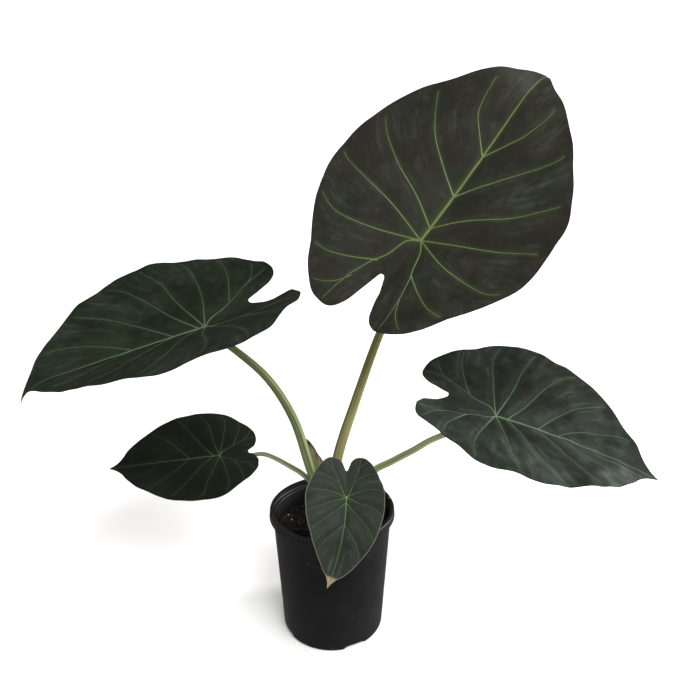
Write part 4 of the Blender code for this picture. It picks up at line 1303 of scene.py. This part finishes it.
def build_margin():
    """A thin dark-brown ridge up the left side of the tall stalk."""
    leaf = LEAVES["tall"]
    line = stalk_line(leaf)
    shares = np.linspace(0, 1, len(line))
    along = np.gradient(line, axis=0)
    along /= np.linalg.norm(along, axis=1)[:, None]
    left = MARGIN_SIDE - along * (along @ MARGIN_SIDE)[:, None]
    left /= np.linalg.norm(left, axis=1)[:, None]
    kept = (line[:, 2] > MARGIN_LOW) & (line[:, 2] < MARGIN_HIGH)
    path = (line + left * bare_radii(leaf, shares)[:, None] * 0.98)[kept]
    taper = np.sin(np.linspace(0.35, math.pi, len(path))) ** 0.6
    ridge = follow_paths("stalk_margin", [(path, 0.0002 + 0.0006 * taper, shares[kept])], RIBS,
                         margin_finish(), 8)
    place(ridge, "dry_sheath")


# ---- setting -------------------------------------------------------------------------
SKY_LIGHT = 0.22              # what the surroundings give, of the white that the camera sees
STAGE_REACH = 6.0
SWEEP_RADIUS = 1.2
WALL_TOP = 4.0
LIT_POINT = Vector((0.0, 0.0, 0.2))
CAMERA_SPOT = (0.0200, -0.6315, 0.5338)
CAMERA_TILT = 72.27           # degrees up from straight down
LENS_LENGTH, SENSOR_WIDTH = 33, 36        # millimetres


def soft_light(name, kind, spot, spread, power, colour):
    """A lamp aimed at the plant; spread is a sun's angle in degrees or an area lamp's width in metres."""
    lamp = bpy.data.lights.new(name, kind)
    if kind == "SUN":
        lamp.angle = math.radians(spread)
    else:
        lamp.shape = "DISK"
        lamp.size = spread
    lamp.energy = power
    lamp.color = colour
    made = bpy.data.objects.new(name, lamp)
    made.location = spot
    made.rotation_euler = (LIT_POINT - Vector(spot)).to_track_quat("-Z", "Y").to_euler()
    bpy.context.scene.collection.objects.link(made)


def stage_piece(name, outline, material):
    """A strip that follows (y, z) points, as wide to each side as STAGE_REACH."""
    points = [(x, y, z) for y, z in outline for x in (-STAGE_REACH, STAGE_REACH)]
    faces = [(2 * i, 2 * i + 1, 2 * i + 3, 2 * i + 2) for i in range(len(outline) - 1)]
    data = bpy.data.meshes.new(name)
    data.from_pydata(points, [], faces)
    data.shade_smooth()
    data.materials.append(material)
    made = mesh_object(name, data)
    made.visible_glossy = False


def build_stage():
    """A pale floor that sweeps up behind into a wall, soft lights, and the camera."""
    material, tree, shader = new_material("studio_floor")
    veil = add_node(tree, "ShaderNodeTexNoise", {"Vector": object_place(tree), "Scale": 3.0})
    dress(tree, shader, blend_colours(tree, veil.outputs[0], (0.90, 0.90, 0.90, 1), (0.93, 0.93, 0.93, 1)),
          0.9)
    sweep = [(SWEEP_RADIUS + SWEEP_RADIUS * math.sin(angle), SWEEP_RADIUS - SWEEP_RADIUS * math.cos(angle))
             for angle in np.linspace(0, math.pi / 2, 17)]
    stage_piece("floor", [(-STAGE_REACH, 0.0), *sweep, (2 * SWEEP_RADIUS, WALL_TOP)], material)

    world = bpy.data.worlds.new("studio")
    world.use_nodes = True
    air = world.node_tree
    background = air.nodes["Background"]
    background.inputs["Color"].default_value = (1.0, 1.0, 1.0, 1.0)
    seen = add_node(air, "ShaderNodeLightPath").outputs["Is Camera Ray"]
    lit = maths(air, "ADD", SKY_LIGHT, maths(air, "MULTIPLY", seen, 1.0 - SKY_LIGHT))
    air.links.new(lit, background.inputs["Strength"])
    bpy.context.scene.world = world
    soft_light("key", "SUN", (1.0, -1.3, 2.1), 40, 3.5, (1.0, 0.99, 0.97))
    soft_light("fill", "SUN", (-1.7, -0.9, 1.5), 60, 0.9, (0.97, 0.99, 1.0))
    soft_light("side", "AREA", (1.4, 0.25, 0.40), 0.6, 32.0, (1.0, 0.96, 0.96))

    lens = bpy.data.cameras.new("camera")
    lens.lens = LENS_LENGTH
    lens.sensor_width = SENSOR_WIDTH
    camera = bpy.data.objects.new("camera", lens)
    camera.location = CAMERA_SPOT
    camera.rotation_euler = (math.radians(CAMERA_TILT), 0, 0)
    bpy.context.scene.collection.objects.link(camera)
    bpy.context.scene.camera = camera
    bpy.context.scene.view_settings.view_transform = "Standard"


build_stage()
build_pot()
build_crown()
build_mix()
build_bits()
build_sheath()
build_margin()
for leaf_name, leaf in LEAVES.items():
    build_stalk(leaf_name, leaf)
    build_blade(leaf_name, leaf)

bpy.context.view_layer.update()
